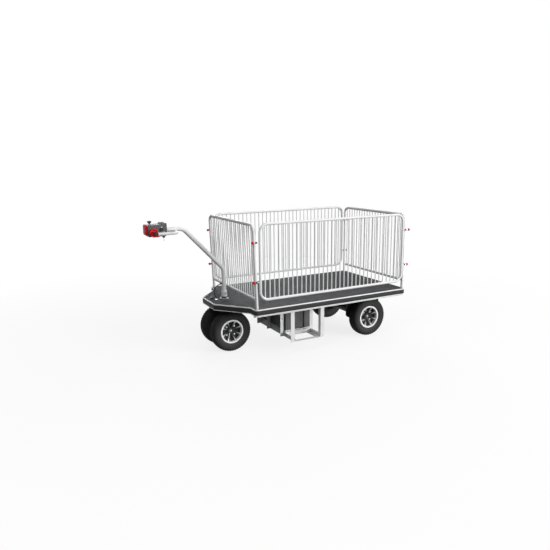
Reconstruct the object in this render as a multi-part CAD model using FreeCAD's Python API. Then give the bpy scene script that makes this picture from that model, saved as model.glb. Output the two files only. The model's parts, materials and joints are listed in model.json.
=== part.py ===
import FreeCAD, Part
import math
import os

# Electric platform cart: a caged load deck on a driven rear axle, steered by a tiller over twin front wheels.
# Frame: millimetres, +X towards the tiller, +Y to the cart's left, +Z up, origin on the floor under the
# middle of the overall length and width. A "station" is a distance back from the deck's square front edge,
# a "reach" a distance ahead of the steering axis, and a "height" a distance above the deck's top.

Vec = FreeCAD.Vector
UP = Vec(0, 0, 1)
AHEAD = Vec(1, 0, 0)
LEFTWARD = Vec(0, 1, 0)
SIDES = (1, -1)
FULL_TURN = 360.0

# Fits
RUNNING_GAP = 0.05
SEAT_GAP = 0.1
SLIM_GAP = 0.5

# Deck
DECK_TOP = 378.0
DECK_LENGTH = 1336.0
DECK_WIDTH = 850.0
DECK_CORNER = 25.0
NOSE_LENGTH = 186.0
NOSE_TIP_WIDTH = 237.0
NOSE_ROOT_WIDTH = 671.0
NOSE_CORNER = 22.0
MAT_THICK = 4.0
PLATE_THICK = 3.0
PLATE_UNDER = DECK_TOP - MAT_THICK - PLATE_THICK
KINGPIN_HOLE = 20.0
LEG_HOLE = 11.5

# Bumper round the deck's edge, between two trim beads
BUMPER_HEIGHT = 46.6
BUMPER_THICK = 6.0
BUMPER_CROWN = 1.5
BEAD_HEIGHT = 9.0
LOWER_BEAD_HEIGHT = 5.0
BEAD_CROWN = 1.4
EDGE_GAP = 0.2

# Underframe
RAIL_HEIGHT = 51.0
RAIL_FLANGE = 29.0
RAIL_WALL = 4.0
RAIL_OUTER = 410.0
RAIL_INNER = RAIL_OUTER - RAIL_FLANGE
RAIL_UNDER = PLATE_UNDER - RAIL_HEIGHT
RAIL_START = 4.0
RAIL_END = 1326.0
RAIL_NOTCH = 12.0
CROSS_HEIGHT = 34.0
CROSS_WIDTH = 40.0
CROSS_WALL = 4.0
CROSS_STATIONS = (24.0, 283.0, 545.0, 880.0, 1190.0, 1285.0)
CROSS_UNDER = PLATE_UNDER - CROSS_HEIGHT
SPINE_WIDTH = 60.0
SPINE_THICK = 12.0
BRACE_WIDTH = 40.0
BRACE_ROOT = 150.0
BRACE_TIP = 12.0
HEAD_PLATE_BEYOND = 30.0

# Cage
POST_RADIUS = 10.5
TUBE_RADIUS = 9.5
BAR_RADIUS = 4.0
POST_SPREAD = 399.5
FRONT_POST_STATION = 24.5
REAR_POST_STATION = 1319.3
FRONT_LEAN = 20.7
FRAME_TOP = 588.0
FRAME_RAIL = 68.0
FRAME_BEND = 48.0
FRAME_BARS = 21
PANEL_SPREAD = 414.5
PANEL_FRONT_STATION = 46.0
PANEL_REAR_STATION = 1294.0
PANEL_TOP = 593.0
PANEL_FOOT = 65.0
PANEL_BEND = 58.0
PANEL_BARS = 33
HINGE_HEIGHT = 193.0
LATCH_HEIGHT = 470.0

# Spring plungers that hold the side panels
PIN_RADIUS = 4.0
PIN_ENGAGED = 1.0
PIN_DRAWN_BACK = 15.0
BARREL_RADIUS = 6.5
BARREL_LENGTH = 15.0
FRONT_BARREL_STATION = 15.5
FRONT_KNOB_STATION = -3.5
REAR_BARREL_STATION = 1319.5
REAR_KNOB_STATION = 1349.0
KNOB_RADIUS = 10.0
KNOB_DRAWN_BACK = 5.0

# Battery bay
ANGLE_LEG = 31.0
ANGLE_WALL = 3.0
BAY_FRONT_STATION = 323.0
BAY_REAR_STATION = 546.0
BAY_LEFT = 404.0
BAY_RIGHT = -155.0
BAY_FOOT = 91.0
BAY_INNER_POST = 243.0
BAY_MIDDLE_POST = 21.0
STRAP_HOLE_RADIUS = 4.5
STRAP_HOLE_Z = 227.0
TRAY_LEFT = 263.0
TRAY_WALL = 2.0
TRAY_TOP = 138.0
TRAY_CORNER = 6.0
TRAY_GAP = 1.0
BATTERY_TOP = 320.0
BATTERY_GAP = 3.0
BATTERY_CORNER = 5.0
GROOVE_WIDTH = 32.0
GROOVE_DEPTH = 9.0
GROOVE_STATION = 458.0

# Wheels: pneumatic tyre on a black barrel with a dished disc, faced by a bright ring with spokes
TYRE_RADIUS = 154.0
TYRE_HALF_WIDTH = 44.0
SHOULDER_RADIUS = 150.5
SHOULDER_HALF_WIDTH = 33.0
UPPER_WALL_RADIUS = 144.0
UPPER_WALL_HALF_WIDTH = 40.0
BULGE_RADIUS = 127.0
LOWER_WALL_RADIUS = 106.0
LOWER_WALL_HALF_WIDTH = 41.5
BEAD_RADIUS = 86.0
FLANGE_RADIUS = 90.0
BEAD_HALF_WIDTH = 30.0
BARREL_WALL = 6.0
RIM_FACE = 36.0
RIM_EDGE = 2.0
RING_WIDTH = 13.0
RING_DEPTH = 16.0
RING_SLOPE = 8.0
SPLIT_FACE = 3.0
DISC_DISH = 12.0
DISC_THICK = 3.0
HUB_RADIUS = 20.0
HUB_FACE = 4.0
HUB_LENGTH = 32.0
HUB_TAPER = 14.0
SPOKES = 8
SPOKE_WAIST_RADIUS = 48.0
# A spoke's half width, and the distances of its back and its face from the wheel's middle plane
SPOKE_ROOT = (3.8, 18.0, 31.0)
SPOKE_WAIST = (2.3, 6.0, 15.0)
SPOKE_FOOT = (3.4, -8.0, 2.0)
AXLE_RADIUS = 10.0
AXLE_SHORT = 1.0
CAP_RADIUS = 12.5
CAP_RISE = 9.5
FRONT_TRACK = 200.0
REAR_TRACK = 584.0
REAR_AXLE_STATION = 1057.0

# Rear axle and drive
BEAM_RADIUS = 30.0
BEAM_BEYOND = 4.0
BRACKET_SPREAD = 236.0
BRACKET_HALF_LENGTH = 162.0
BRACKET_HALF_FOOT = 56.0
BRACKET_THICK = 5.0
BRACKET_DROP = 36.0
BRACKET_EAR = 13.0
BRACKET_CHAMFER = 14.0
MOTOR_RADIUS = 50.0
MOTOR_LENGTH = 150.0
MOTOR_BEHIND = 112.0
MOTOR_RISE = 26.0
MOTOR_STEP = 4.0
MOTOR_FACE = 12.0
MOTOR_CAP = 32.0
MOTOR_CAP_EDGE = 12.0
GEARBOX_INNER = 92.0
GEARBOX_OUTER = 150.0
GEARBOX_STEP = 14.0
GEARBOX_RADIUS = 62.0

# Steering
STEER_AHEAD = 55.0
KINGPIN_RADIUS = 14.0
BEARING_RADIUS = 38.0
TURNTABLE_RADIUS = 46.0
TURNTABLE_THICK = 10.0
TURNTABLE_GAP = 6.0
YOKE_TOP = (34.0, 36.0)
YOKE_WAIST = (24.0, 34.0)
YOKE_FOOT = (22.0, 34.0)
YOKE_SHOULDER = 70.0
YOKE_CORNER = 8.0
YOKE_HUB_RADIUS = 26.0
YOKE_HUB_HALF = 42.0
TILLER_RADIUS = 16.0
TILLER_KNEE = 231.0
TILLER_ELBOW_REACH = 300.0
TILLER_TOP = 549.0
TILLER_BEND = 70.0
TILLER_END_REACH = 431.0
COLLAR_RADIUS = 22.4
COLLAR_FOOT = 19.5
COLLAR_TOP = 63.0
COLLAR_CHAMFER = 4.0
COLLAR_BOLT_RADIUS = 4.0
COLLAR_BOLT_HEIGHT = 40.0
SEAL_RADIUS = 17.5
SEAL_TOP = 19.0
FLANGE_DISC_RADIUS = 34.0
FLANGE_DISC_THICK = 3.5
BOSS_RADIUS = 22.0
BOSS_TOP = 8.0
BOSS_CHAMFER = 1.5
BOSS_BORE = 14.5

# Handlebar
BAR_HEIGHT = 534.0
BAR_SPREAD = 100.0
BAR_REAR_REACH = 368.0
BAR_BEND = 29.0
HANDLE_RADIUS = 11.0
GRIP_REACH = 517.0
BAR_END = 10.0

# Control head
HEAD_REACH = 575.0
HEAD_REAR_REACH = 428.0
HEAD_FRONT_REACH = 562.0
HEAD_WIDTH = 92.0
HEAD_FOOT = 510.0
HEAD_TOP = 592.0
HEAD_CREST = 601.0
CREST_LENGTH = 26.0
CREST_SLOPE = 6.0
BROW = 7.0
CHIN = 8.0
HEAD_FILLET = 3.5
COVER_THICK = 7.0
COVER_FOOT = 532.0
COVER_CORNER = 12.0
COVER_TAPER = 2.0
COVER_INSET = 1.0
SWITCH_FOOT = 521.0
SWITCH_TOP = 593.0
SWITCH_HALF_WIDTH = 34.0
SWITCH_CORNER = 13.0
SWITCH_SEAT = 2.6
SWITCH_ROUNDING = 4.0
SWITCH_TAPER = 5.0
SEAL_INSET = 3.0
STOP_REACH = 537.0
STOP_FOOT = 592.5
STOP_STEM_RADIUS = 7.0
STOP_STEM = 11.0
STOP_RADIUS = 14.0
STOP_TALL = 24.0
STOP_CHAMFER = 2.5
GAUGE_REACH = 448.0
GAUGE_RADIUS = 11.0
GAUGE_TALL = 2.5
GAUGE_BEVEL = 1.0

# Throttle: a thumb wing on each side, round a grip hub
WING_RADIUS = 30.0
WING_AHEAD = 6.0
WING_RISE = 4.0
WING_GAP = 1.0
WING_THICK = 14.0
WING_TAIL_RADIUS = 8.0
WING_TAIL_BEHIND = 24.0
WING_TAIL_DROP = 18.0
WING_DISH_RADIUS = 24.0
WING_DISH_FLOOR = 17.0
WING_DISH_DEPTH = 5.0
WING_FILLET = 1.5
GRIP_HUB_RADIUS = 13.5
GRIP_HUB_END = 108.0
GRIP_HUB_CHAMFER = 3.0

# Key switch with its two keys, and the ring that holds the spare one
LOCK_REACH = 466.0
LOCK_HEIGHT = 568.0
LOCK_RADIUS = 8.5
LOCK_RISE = 5.0
LOCK_CHAMFER = 1.5
KEY_THICK = 4.0
BLADE_THICK = 2.0
BLADE_WIDTH = 7.0
BLADE_LENGTH = 21.0
BOW_NECK = 13.0
BOW_WIDTH = 21.0
BOW_LENGTH = 24.0
SPARE_BEHIND = 8.0
SPARE_BESIDE = 12.0
SPARE_BELOW = 66.0
LINK_RADIUS = 10.0
LINK_WIRE = 1.0

# Lead from the tiller to the deck, as (reach, height) points of its route
LEAD_RADIUS = 3.5
LEAD_ROUTE = ((30, 115), (55, 106), (80, 83), (80, 48), (65, 16))
ARC_SHARE = 0.45
BOOT_LENGTH = 16.0
BOOT_ROOT_RADIUS = 8.5
BOOT_TIP_RADIUS = 6.0
BOOT_TAPER = 6.0
SOCKET_REACH = 62.5
SOCKET_RADIUS = 13.5
SOCKET_FLANGE = 6.0
SOCKET_NECK_RADIUS = 7.0
SOCKET_NECK = 12.0
CAP_REACH = 86.0
CAP_SIDE = -42.0
SOCKET_CAP_RADIUS = 12.0
SOCKET_CAP_TALL = 9.0
SOCKET_CAP_CHAMFER = 3.0
TONGUE_LENGTH = 22.0
TONGUE_WIDTH = 12.0
TONGUE_THICK = 3.0

# The cart reaches from the rear knobs to the front of the control head, with the origin halfway
REAR_REACH = REAR_KNOB_STATION + KNOB_DRAWN_BACK + KNOB_RADIUS
DECK_FRONT = (REAR_REACH - HEAD_REACH - STEER_AHEAD) / 2
STEER_X = DECK_FRONT + STEER_AHEAD


def station(setback):
    """X of a point that lies this far behind the deck's front edge."""
    return DECK_FRONT - setback


def tiller_point(reach, y, height):
    """Point on the steered part, from its reach ahead of the steering axis and its height above the deck."""
    return Vec(STEER_X + reach, y, DECK_TOP + height)


def box(one, other):
    """Box between two opposite corners, given in any order."""
    low = Vec(*[min(a, b) for a, b in zip(one, other)])
    high = Vec(*[max(a, b) for a, b in zip(one, other)])
    size = high - low
    return Part.makeBox(size.x, size.y, size.z, low)


def cylinder(radius, start, end):
    """Round bar between two points."""
    start = Vec(*start)
    run = Vec(*end) - start
    return Part.makeCylinder(radius, run.Length, start, run)


def polygon(points):
    """Flat face through the points."""
    points = [Vec(*point) for point in points]
    return Part.Face(Part.makePolygon(points + [points[0]]))


def turned(profile, centre, axis):
    """Turned part from (radius, along) profile points, about an axis through the centre."""
    across = LEFTWARD if abs(axis.x) > 0.5 else AHEAD
    across = (across - axis * across.dot(axis)).normalize()
    return polygon([centre + across * r + axis * a for r, a in profile]).revolve(centre, axis, FULL_TURN)


def fused(pieces):
    """One solid from pieces that run into each other."""
    return pieces[0].fuse(pieces[1:]).removeSplitter()


def upright_edges(shape):
    """The edges that run straight up."""
    return [edge for edge in shape.Edges if abs(edge.tangentAt(edge.FirstParameter).z) > 0.9]


def rounded_outline(corners, z):
    """Closed outline at height z from (x, y, radius) corners, each rounded by a tangent arc."""
    joints = []
    for i, (x, y, radius) in enumerate(corners):
        here = Vec(x, y, z)
        before = corners[i - 1]
        after = corners[(i + 1) % len(corners)]
        back = (Vec(before[0], before[1], z) - here).normalize()
        ahead = (Vec(after[0], after[1], z) - here).normalize()
        half = back.getAngle(ahead) / 2
        setback = radius / math.tan(half)
        middle = here + (back + ahead).normalize() * (radius / math.sin(half) - radius)
        joints.append((here + back * setback, middle, here + ahead * setback))
    edges = []
    for i, (start, middle, end) in enumerate(joints):
        edges.append(Part.Arc(start, middle, end).toShape())
        edges.append(Part.LineSegment(end, joints[(i + 1) % len(joints)][0]).toShape())
    return Part.Wire(edges)


def belt_outline(large, large_radius, small, small_radius):
    """Outline in an upright plane along the cart, drawn tight round two circles."""
    run = small - large
    course = math.atan2(run.z, run.x)
    spread = math.acos((large_radius - small_radius) / run.Length)

    def rim(centre, radius, turn):
        return centre + Vec(math.cos(course + turn), 0, math.sin(course + turn)) * radius

    far = [rim(large, large_radius, turn) for turn in (spread, math.pi, -spread)]
    near = [rim(small, small_radius, turn) for turn in (-spread, 0, spread)]
    lines = [Part.LineSegment(far[2], near[0]), Part.LineSegment(near[2], far[0])]
    edges = [Part.Arc(*far), lines[0], Part.Arc(*near), lines[1]]
    return Part.Wire([edge.toShape() for edge in edges])


def bent_rod(points, bend, radius, closed=False):
    """Round rod through the points, with every corner bent to the given radius."""
    points = [Vec(*point) for point in points]
    count = len(points)
    pieces = []
    arrive = {}
    leave = {}
    for i in range(count) if closed else range(1, count - 1):
        here = points[i]
        inward = (here - points[i - 1]).normalize()
        outward = (points[(i + 1) % count] - here).normalize()
        turn = inward.getAngle(outward)
        setback = bend * math.tan(turn / 2)
        arrive[i] = here - inward * setback
        leave[i] = here + outward * setback
        across = (outward - inward * outward.dot(inward)).normalize()
        section = Part.Face(Part.Wire(Part.makeCircle(radius, arrive[i], inward)))
        pieces.append(section.revolve(arrive[i] + across * bend, inward.cross(outward), math.degrees(turn)))
    for i in range(count if closed else count - 1):
        start = leave.get(i, points[i])
        end = arrive.get((i + 1) % count, points[(i + 1) % count])
        pieces.append(cylinder(radius, start, end))
    return fused(pieces)


def mirrored(shape):
    """The same piece on the cart's other side."""
    return shape.mirror(Vec(0, 0, 0), LEFTWARD)


def save(node, *solids):
    """Write one named piece of the cart, made of one or more solids."""
    shape = solids[0] if len(solids) == 1 else Part.makeCompound(list(solids))
    shape.exportStep("parts/" + node + ".step")


# Deck

def deck_corners():
    """Deck outline with a tapered nose, running round from the nose's left tip."""
    left = [
        (station(-NOSE_LENGTH), NOSE_TIP_WIDTH / 2, NOSE_CORNER),
        (station(0), NOSE_ROOT_WIDTH / 2, NOSE_CORNER),
        (station(0), DECK_WIDTH / 2, DECK_CORNER),
        (station(DECK_LENGTH), DECK_WIDTH / 2, DECK_CORNER),
    ]
    return left + [(x, -y, r) for x, y, r in reversed(left)]


def deck_path(start):
    """The deck's outline as one closed path that begins at a point on a straight edge."""
    outline = rounded_outline(deck_corners(), start.z)
    nearest = min(outline.Edges, key=lambda edge: edge.distToShape(Part.Vertex(start))[0])
    others = [edge for edge in outline.Edges if not edge.isSame(nearest)]
    halves = [Part.LineSegment(start, vertex.Point).toShape() for vertex in nearest.Vertexes]
    return Part.Wire(Part.__sortEdges__(halves + others))


def edge_strip(z_low, z_high, crown):
    """Strip round the deck's edge, its outer face crowned between its two lips."""
    start = Vec(station(DECK_LENGTH / 2), DECK_WIDTH / 2, DECK_TOP)

    def at(inward, z):
        return Vec(start.x, start.y - inward, z)

    low_lip = at(crown, z_low)
    high_lip = at(crown, z_high)
    outer = Part.Arc(low_lip, at(0, (z_low + z_high) / 2), high_lip).toShape()
    back = Part.makePolygon([high_lip, at(BUMPER_THICK, z_high), at(BUMPER_THICK, z_low), low_lip])
    return deck_path(start).makePipeShell([Part.Wire([outer] + back.Edges)], True, True)


def deck_layer(z_low, z_high):
    """One layer of the deck, pierced for the kingpin and the cage's legs."""
    outline = rounded_outline(deck_corners(), z_low).makeOffset2D(-BUMPER_THICK - EDGE_GAP)
    layer = Part.Face(outline).extrude(UP * (z_high - z_low))
    holes = [cylinder(KINGPIN_HOLE, (STEER_X, 0, z_low), (STEER_X, 0, z_high))]
    for back in (FRONT_POST_STATION, REAR_POST_STATION):
        for side in SIDES:
            y = side * POST_SPREAD
            holes.append(cylinder(LEG_HOLE, (station(back), y, z_low), (station(back), y, z_high)))
    return layer.cut(holes)


def make_deck():
    mat_under = PLATE_UNDER + PLATE_THICK
    save("deck_plate", deck_layer(PLATE_UNDER, mat_under))
    save("deck_mat", deck_layer(mat_under, DECK_TOP))
    foot = DECK_TOP - BUMPER_HEIGHT
    low = foot + LOWER_BEAD_HEIGHT
    high = DECK_TOP - BEAD_HEIGHT
    save("bumper", edge_strip(low, high, BUMPER_CROWN))
    save("bumper_trims", edge_strip(foot, low, BEAD_CROWN), edge_strip(high, DECK_TOP, BEAD_CROWN))


# Underframe

def side_rail(side):
    """Channel under the deck's side, web outward, cut away in front where the bumper wraps round."""
    top = PLATE_UNDER
    foot = RAIL_UNDER
    web = RAIL_OUTER - RAIL_WALL
    profile = [
        (RAIL_OUTER, foot), (RAIL_OUTER, top), (RAIL_INNER, top), (RAIL_INNER, top - RAIL_WALL),
        (web, top - RAIL_WALL), (web, foot + RAIL_WALL), (RAIL_INNER, foot + RAIL_WALL), (RAIL_INNER, foot),
    ]
    face = polygon([(station(RAIL_END), side * y, z) for y, z in profile])
    rail = face.extrude(AHEAD * (RAIL_END - RAIL_START))
    notch_z = DECK_TOP - BUMPER_HEIGHT - SLIM_GAP
    notch_rear = (station(RAIL_NOTCH), side * RAIL_INNER, notch_z)
    return rail.cut(box(notch_rear, (station(0), side * DECK_WIDTH, DECK_TOP)))


def cross_member(back):
    """Channel across the underframe between the side rails, open to the rear."""
    front = station(back)
    rear = station(back + CROSS_WIDTH)
    web = front - CROSS_WALL
    low = CROSS_UNDER + CROSS_WALL
    high = PLATE_UNDER - CROSS_WALL
    profile = [
        (front, CROSS_UNDER), (front, PLATE_UNDER), (rear, PLATE_UNDER), (rear, high),
        (web, high), (web, low), (rear, low), (rear, CROSS_UNDER),
    ]
    return polygon([(x, -RAIL_INNER, z) for x, z in profile]).extrude(LEFTWARD * (2 * RAIL_INNER))


def make_underframe():
    save("side_rails", *[side_rail(side) for side in SIDES])
    save("cross_members", *[cross_member(back) for back in CROSS_STATIONS])

    root = station(CROSS_STATIONS[0])
    tip = STEER_X + BEARING_RADIUS + HEAD_PLATE_BEYOND
    half = SPINE_WIDTH / 2
    pieces = [
        box((root, -half, PLATE_UNDER - SPINE_THICK), (tip, half, PLATE_UNDER)),
        cylinder(BEARING_RADIUS, (STEER_X, 0, CROSS_UNDER), (STEER_X, 0, PLATE_UNDER)),
    ]
    brace_root = BRACE_ROOT + BRACE_WIDTH
    brace_tip = BRACE_TIP + BRACE_WIDTH
    for side in SIDES:
        outline = [(root, brace_root), (root, BRACE_ROOT), (tip, BRACE_TIP), (tip, brace_tip)]
        pieces.append(polygon([(x, side * y, CROSS_UNDER) for x, y in outline]).extrude(UP * CROSS_HEIGHT))
    bore = cylinder(KINGPIN_RADIUS + RUNNING_GAP, (STEER_X, 0, 0), (STEER_X, 0, DECK_TOP))
    save("steering_head", fused(pieces).cut(bore))


# Cage

def front_post(height):
    """X of the front frame's leaning posts at a height above the deck."""
    return station(FRONT_POST_STATION) + FRONT_LEAN * height / FRAME_TOP


def rear_post(height):
    """X of the rear frame's upright posts."""
    return station(REAR_POST_STATION)


def end_frame(post_x):
    """Inverted U of tube standing on the side rails, with a cross rail and upright bars."""
    def at(y, height):
        return Vec(post_x(height), y, DECK_TOP + height)

    under = PLATE_UNDER - DECK_TOP
    left = [at(POST_SPREAD, height) for height in (under, FRAME_TOP)]
    right = [at(-POST_SPREAD, height) for height in (FRAME_TOP, under)]
    pieces = [bent_rod(left + right, FRAME_BEND, POST_RADIUS)]
    pieces.append(cylinder(TUBE_RADIUS, at(-POST_SPREAD, FRAME_RAIL), at(POST_SPREAD, FRAME_RAIL)))
    pitch = 2 * POST_SPREAD / (FRAME_BARS + 1)
    for i in range(1, FRAME_BARS + 1):
        y = -POST_SPREAD + pitch * i
        pieces.append(cylinder(BAR_RADIUS, at(y, FRAME_RAIL), at(y, FRAME_TOP)))
    below = box((station(DECK_LENGTH), -DECK_WIDTH, 0), (station(0), DECK_WIDTH, PLATE_UNDER))
    return fused(pieces).cut(below)


def side_panel():
    """Left side panel: a rounded loop of tube filled with bars, bored near its foot for the hinge pins."""
    front = station(PANEL_FRONT_STATION)
    rear = station(PANEL_REAR_STATION)
    foot = DECK_TOP + PANEL_FOOT
    top = DECK_TOP + PANEL_TOP
    y = PANEL_SPREAD
    corners = [(front, y, foot), (front, y, top), (rear, y, top), (rear, y, foot)]
    pieces = [bent_rod(corners, PANEL_BEND, TUBE_RADIUS, closed=True)]
    pitch = (front - rear) / (PANEL_BARS + 1)
    for i in range(1, PANEL_BARS + 1):
        x = rear + pitch * i
        pieces.append(cylinder(BAR_RADIUS, (x, y, foot), (x, y, top)))
    panel = fused(pieces)
    z = DECK_TOP + HINGE_HEIGHT
    bore = PIN_RADIUS + RUNNING_GAP
    for x, outward in ((front, 1), (rear, -1)):
        panel = panel.cut(cylinder(bore, (x, y, z), (x + outward * 2 * TUBE_RADIUS, y, z)))
    return panel


def plunger(upright, barrel_at, knob_at, post, side, height, engaged):
    """Spring plunger on a post's flank: its barrel, its pin through the barrel, and its knob."""
    y = side * PANEL_SPREAD
    z = DECK_TOP + height
    outward = math.copysign(1, station(knob_at) - station(upright))
    inner = station(barrel_at) - outward * BARREL_LENGTH / 2
    outer = station(barrel_at) + outward * BARREL_LENGTH / 2
    tip = station(upright) + outward * (PIN_ENGAGED if engaged else PIN_DRAWN_BACK)
    centre = station(knob_at) + outward * (0 if engaged else KNOB_DRAWN_BACK)
    root = centre - outward * KNOB_RADIUS / 2
    hole = cylinder(PIN_RADIUS + SEAT_GAP, (tip, y, z), (root + outward * SEAT_GAP, y, z))
    barrel = cylinder(BARREL_RADIUS, (inner, y, z), (outer, y, z)).cut([hole, post])
    pin = cylinder(PIN_RADIUS, (tip, y, z), (root, y, z))
    knob = Part.makeSphere(KNOB_RADIUS, Vec(centre, y, z)).cut(hole)
    return barrel, pin, knob


def make_plungers():
    """Two plungers on each post: the lower are the panels' hinges, the upper their latches, drawn back."""
    barrels = []
    pins = []
    knobs = []
    ends = (
        (front_post, PANEL_FRONT_STATION, FRONT_BARREL_STATION, FRONT_KNOB_STATION),
        (rear_post, PANEL_REAR_STATION, REAR_BARREL_STATION, REAR_KNOB_STATION),
    )
    for post_x, upright, barrel_at, knob_at in ends:
        for side in SIDES:
            foot = (post_x(0), side * POST_SPREAD, DECK_TOP)
            head = (post_x(FRAME_TOP), side * POST_SPREAD, DECK_TOP + FRAME_TOP)
            post = cylinder(POST_RADIUS + SEAT_GAP, foot, head)
            for height, engaged in ((HINGE_HEIGHT, True), (LATCH_HEIGHT, False)):
                barrel, pin, knob = plunger(upright, barrel_at, knob_at, post, side, height, engaged)
                barrels.append(barrel)
                pins.append(pin)
                knobs.append(knob)
    save("latch_barrels", *barrels)
    save("latch_pins", *pins)
    save("latch_knobs", *knobs)


def make_cage():
    save("front_end_frame", end_frame(front_post))
    save("rear_end_frame", end_frame(rear_post))
    panel = side_panel()
    save("left_side_panel", panel)
    save("right_side_panel", mirrored(panel))
    make_plungers()


# Battery bay: an angle-iron cradle slung under the deck, open on the left

def angle_post(back, outward, y, into, head):
    """Upright angle iron: one leg along the cart, the other running into the bay's side."""
    x = station(back)
    face = box((x, y, BAY_FOOT), (x + outward * ANGLE_LEG, y - into * ANGLE_WALL, head))
    web = box((x, y, BAY_FOOT), (x + outward * ANGLE_WALL, y - into * ANGLE_LEG, head))
    return face.fuse(web)


def bay_end(back, outward):
    """One end of the bay: four uprights between a head angle and a foot strip, drilled for a strap."""
    x = station(back)
    leg_x = x + outward * ANGLE_LEG
    pieces = [
        box((x, BAY_RIGHT, BAY_FOOT), (x + outward * ANGLE_WALL, BAY_LEFT, BAY_FOOT + ANGLE_LEG)),
        box((x, BAY_RIGHT, CROSS_UNDER - ANGLE_WALL), (leg_x, RAIL_INNER - TRAY_GAP, CROSS_UNDER)),
        angle_post(back, outward, BAY_LEFT, 1, RAIL_UNDER),
        angle_post(back, outward, BAY_INNER_POST, 1, CROSS_UNDER),
        angle_post(back, outward, BAY_MIDDLE_POST, 1, CROSS_UNDER),
        angle_post(back, outward, BAY_RIGHT, -1, CROSS_UNDER),
    ]
    drill_x = x + outward * ANGLE_LEG / 2
    drill_start = (drill_x, BAY_INNER_POST - ANGLE_LEG, STRAP_HOLE_Z)
    drill_end = (drill_x, BAY_INNER_POST + ANGLE_LEG, STRAP_HOLE_Z)
    return fused(pieces).cut(cylinder(STRAP_HOLE_RADIUS, drill_start, drill_end))


def make_bay_frame():
    save("bay_end_frames", bay_end(BAY_FRONT_STATION, 1), bay_end(BAY_REAR_STATION, -1))
    front = station(BAY_FRONT_STATION)
    rear = station(BAY_REAR_STATION)
    top = BAY_FOOT + ANGLE_WALL
    shelves = [
        box((front - ANGLE_LEG, BAY_RIGHT, BAY_FOOT), (front, BAY_LEFT, top)),
        box((rear, BAY_RIGHT, BAY_FOOT), (rear + ANGLE_LEG, BAY_LEFT, top)),
        box((rear, BAY_RIGHT, BAY_FOOT), (front, BAY_RIGHT + ANGLE_LEG, top)),
        box((rear, BAY_LEFT - ANGLE_LEG, BAY_FOOT), (front, BAY_LEFT, top)),
    ]
    save("bay_floor_frame", fused(shelves))


def make_battery():
    floor = BAY_FOOT + ANGLE_WALL
    rear = station(BAY_REAR_STATION) + TRAY_GAP
    front = station(BAY_FRONT_STATION) - TRAY_GAP
    right = BAY_RIGHT + ANGLE_WALL + TRAY_GAP
    wall = TRAY_WALL
    tray = box((rear, right, floor), (front, TRAY_LEFT, TRAY_TOP))
    tray = tray.makeFillet(TRAY_CORNER, upright_edges(tray))
    hollow = box((rear + wall, right + wall, floor + wall), (front - wall, TRAY_LEFT - wall, DECK_TOP))
    hollow = hollow.makeFillet(TRAY_CORNER - wall, upright_edges(hollow))
    save("battery_tray", tray.cut(hollow))

    gap = BATTERY_GAP
    left = TRAY_LEFT - gap
    pack = box((rear + gap, right + gap, floor + wall), (front - gap, left, BATTERY_TOP))
    pack = pack.makeFillet(BATTERY_CORNER, upright_edges(pack))
    groove_low = (station(GROOVE_STATION + GROOVE_WIDTH), left - GROOVE_DEPTH, TRAY_TOP)
    groove_high = (station(GROOVE_STATION), TRAY_LEFT, BATTERY_TOP)
    save("battery_pack", pack.cut(box(groove_low, groove_high)))


# Wheels

def tyre(x, y):
    """Pneumatic tyre: arched crown, rounded shoulders, bulged sidewalls and beads."""
    def at(radius, along):
        return Vec(x + radius, y + along, TYRE_RADIUS)

    lip = FLANGE_RADIUS + SLIM_GAP
    shoulders = [at(SHOULDER_RADIUS, side * SHOULDER_HALF_WIDTH) for side in SIDES]
    edges = [Part.Arc(shoulders[0], at(TYRE_RADIUS, 0), shoulders[1])]
    edges.append(Part.LineSegment(at(BEAD_RADIUS, -BEAD_HALF_WIDTH), at(BEAD_RADIUS, BEAD_HALF_WIDTH)))
    for side, shoulder in zip(SIDES, shoulders):
        bulge = at(BULGE_RADIUS, side * TYRE_HALF_WIDTH)
        bead = at(lip, side * BEAD_HALF_WIDTH)
        edges.append(Part.Arc(shoulder, at(UPPER_WALL_RADIUS, side * UPPER_WALL_HALF_WIDTH), bulge))
        edges.append(Part.Arc(bulge, at(LOWER_WALL_RADIUS, side * LOWER_WALL_HALF_WIDTH), bead))
        edges.append(Part.LineSegment(bead, at(BEAD_RADIUS, side * BEAD_HALF_WIDTH)))
    wire = Part.Wire(Part.__sortEdges__([edge.toShape() for edge in edges]))
    return Part.Face(wire).revolve(Vec(x, y, TYRE_RADIUS), LEFTWARD, FULL_TURN)


def wheel_part(profile, x, y, outward):
    """Turned part of a wheel, from (radius, distance towards the wheel's outer face) points."""
    return turned([(r, outward * a) for r, a in profile], Vec(x, y, TYRE_RADIUS), LEFTWARD)


def spoke(outward):
    """One dished spoke, lofted from a wide root at the rim's ring to a slim foot at the hub."""
    def section(radius, half, back, face):
        return Part.makePolygon([
            Vec(radius, outward * back, -half), Vec(radius, outward * face, -half),
            Vec(radius, outward * face, half), Vec(radius, outward * back, half),
            Vec(radius, outward * back, -half),
        ])

    root = section(FLANGE_RADIUS - RING_WIDTH + RIM_EDGE, *SPOKE_ROOT)
    waist = section(SPOKE_WAIST_RADIUS, *SPOKE_WAIST)
    foot = section(HUB_RADIUS - RIM_EDGE, *SPOKE_FOOT)
    return Part.makeLoft([root, waist, foot], True, True)


def spokes(x, y, outward):
    """The wheel's ring of spokes, the first one half a step above the level."""
    arms = []
    for i in range(SPOKES):
        arm = spoke(outward)
        arm.rotate(Vec(0, 0, 0), LEFTWARD, FULL_TURN * (i + 0.5) / SPOKES)
        arm.translate(Vec(x, y, TYRE_RADIUS))
        arms.append(arm)
    return arms


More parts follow.
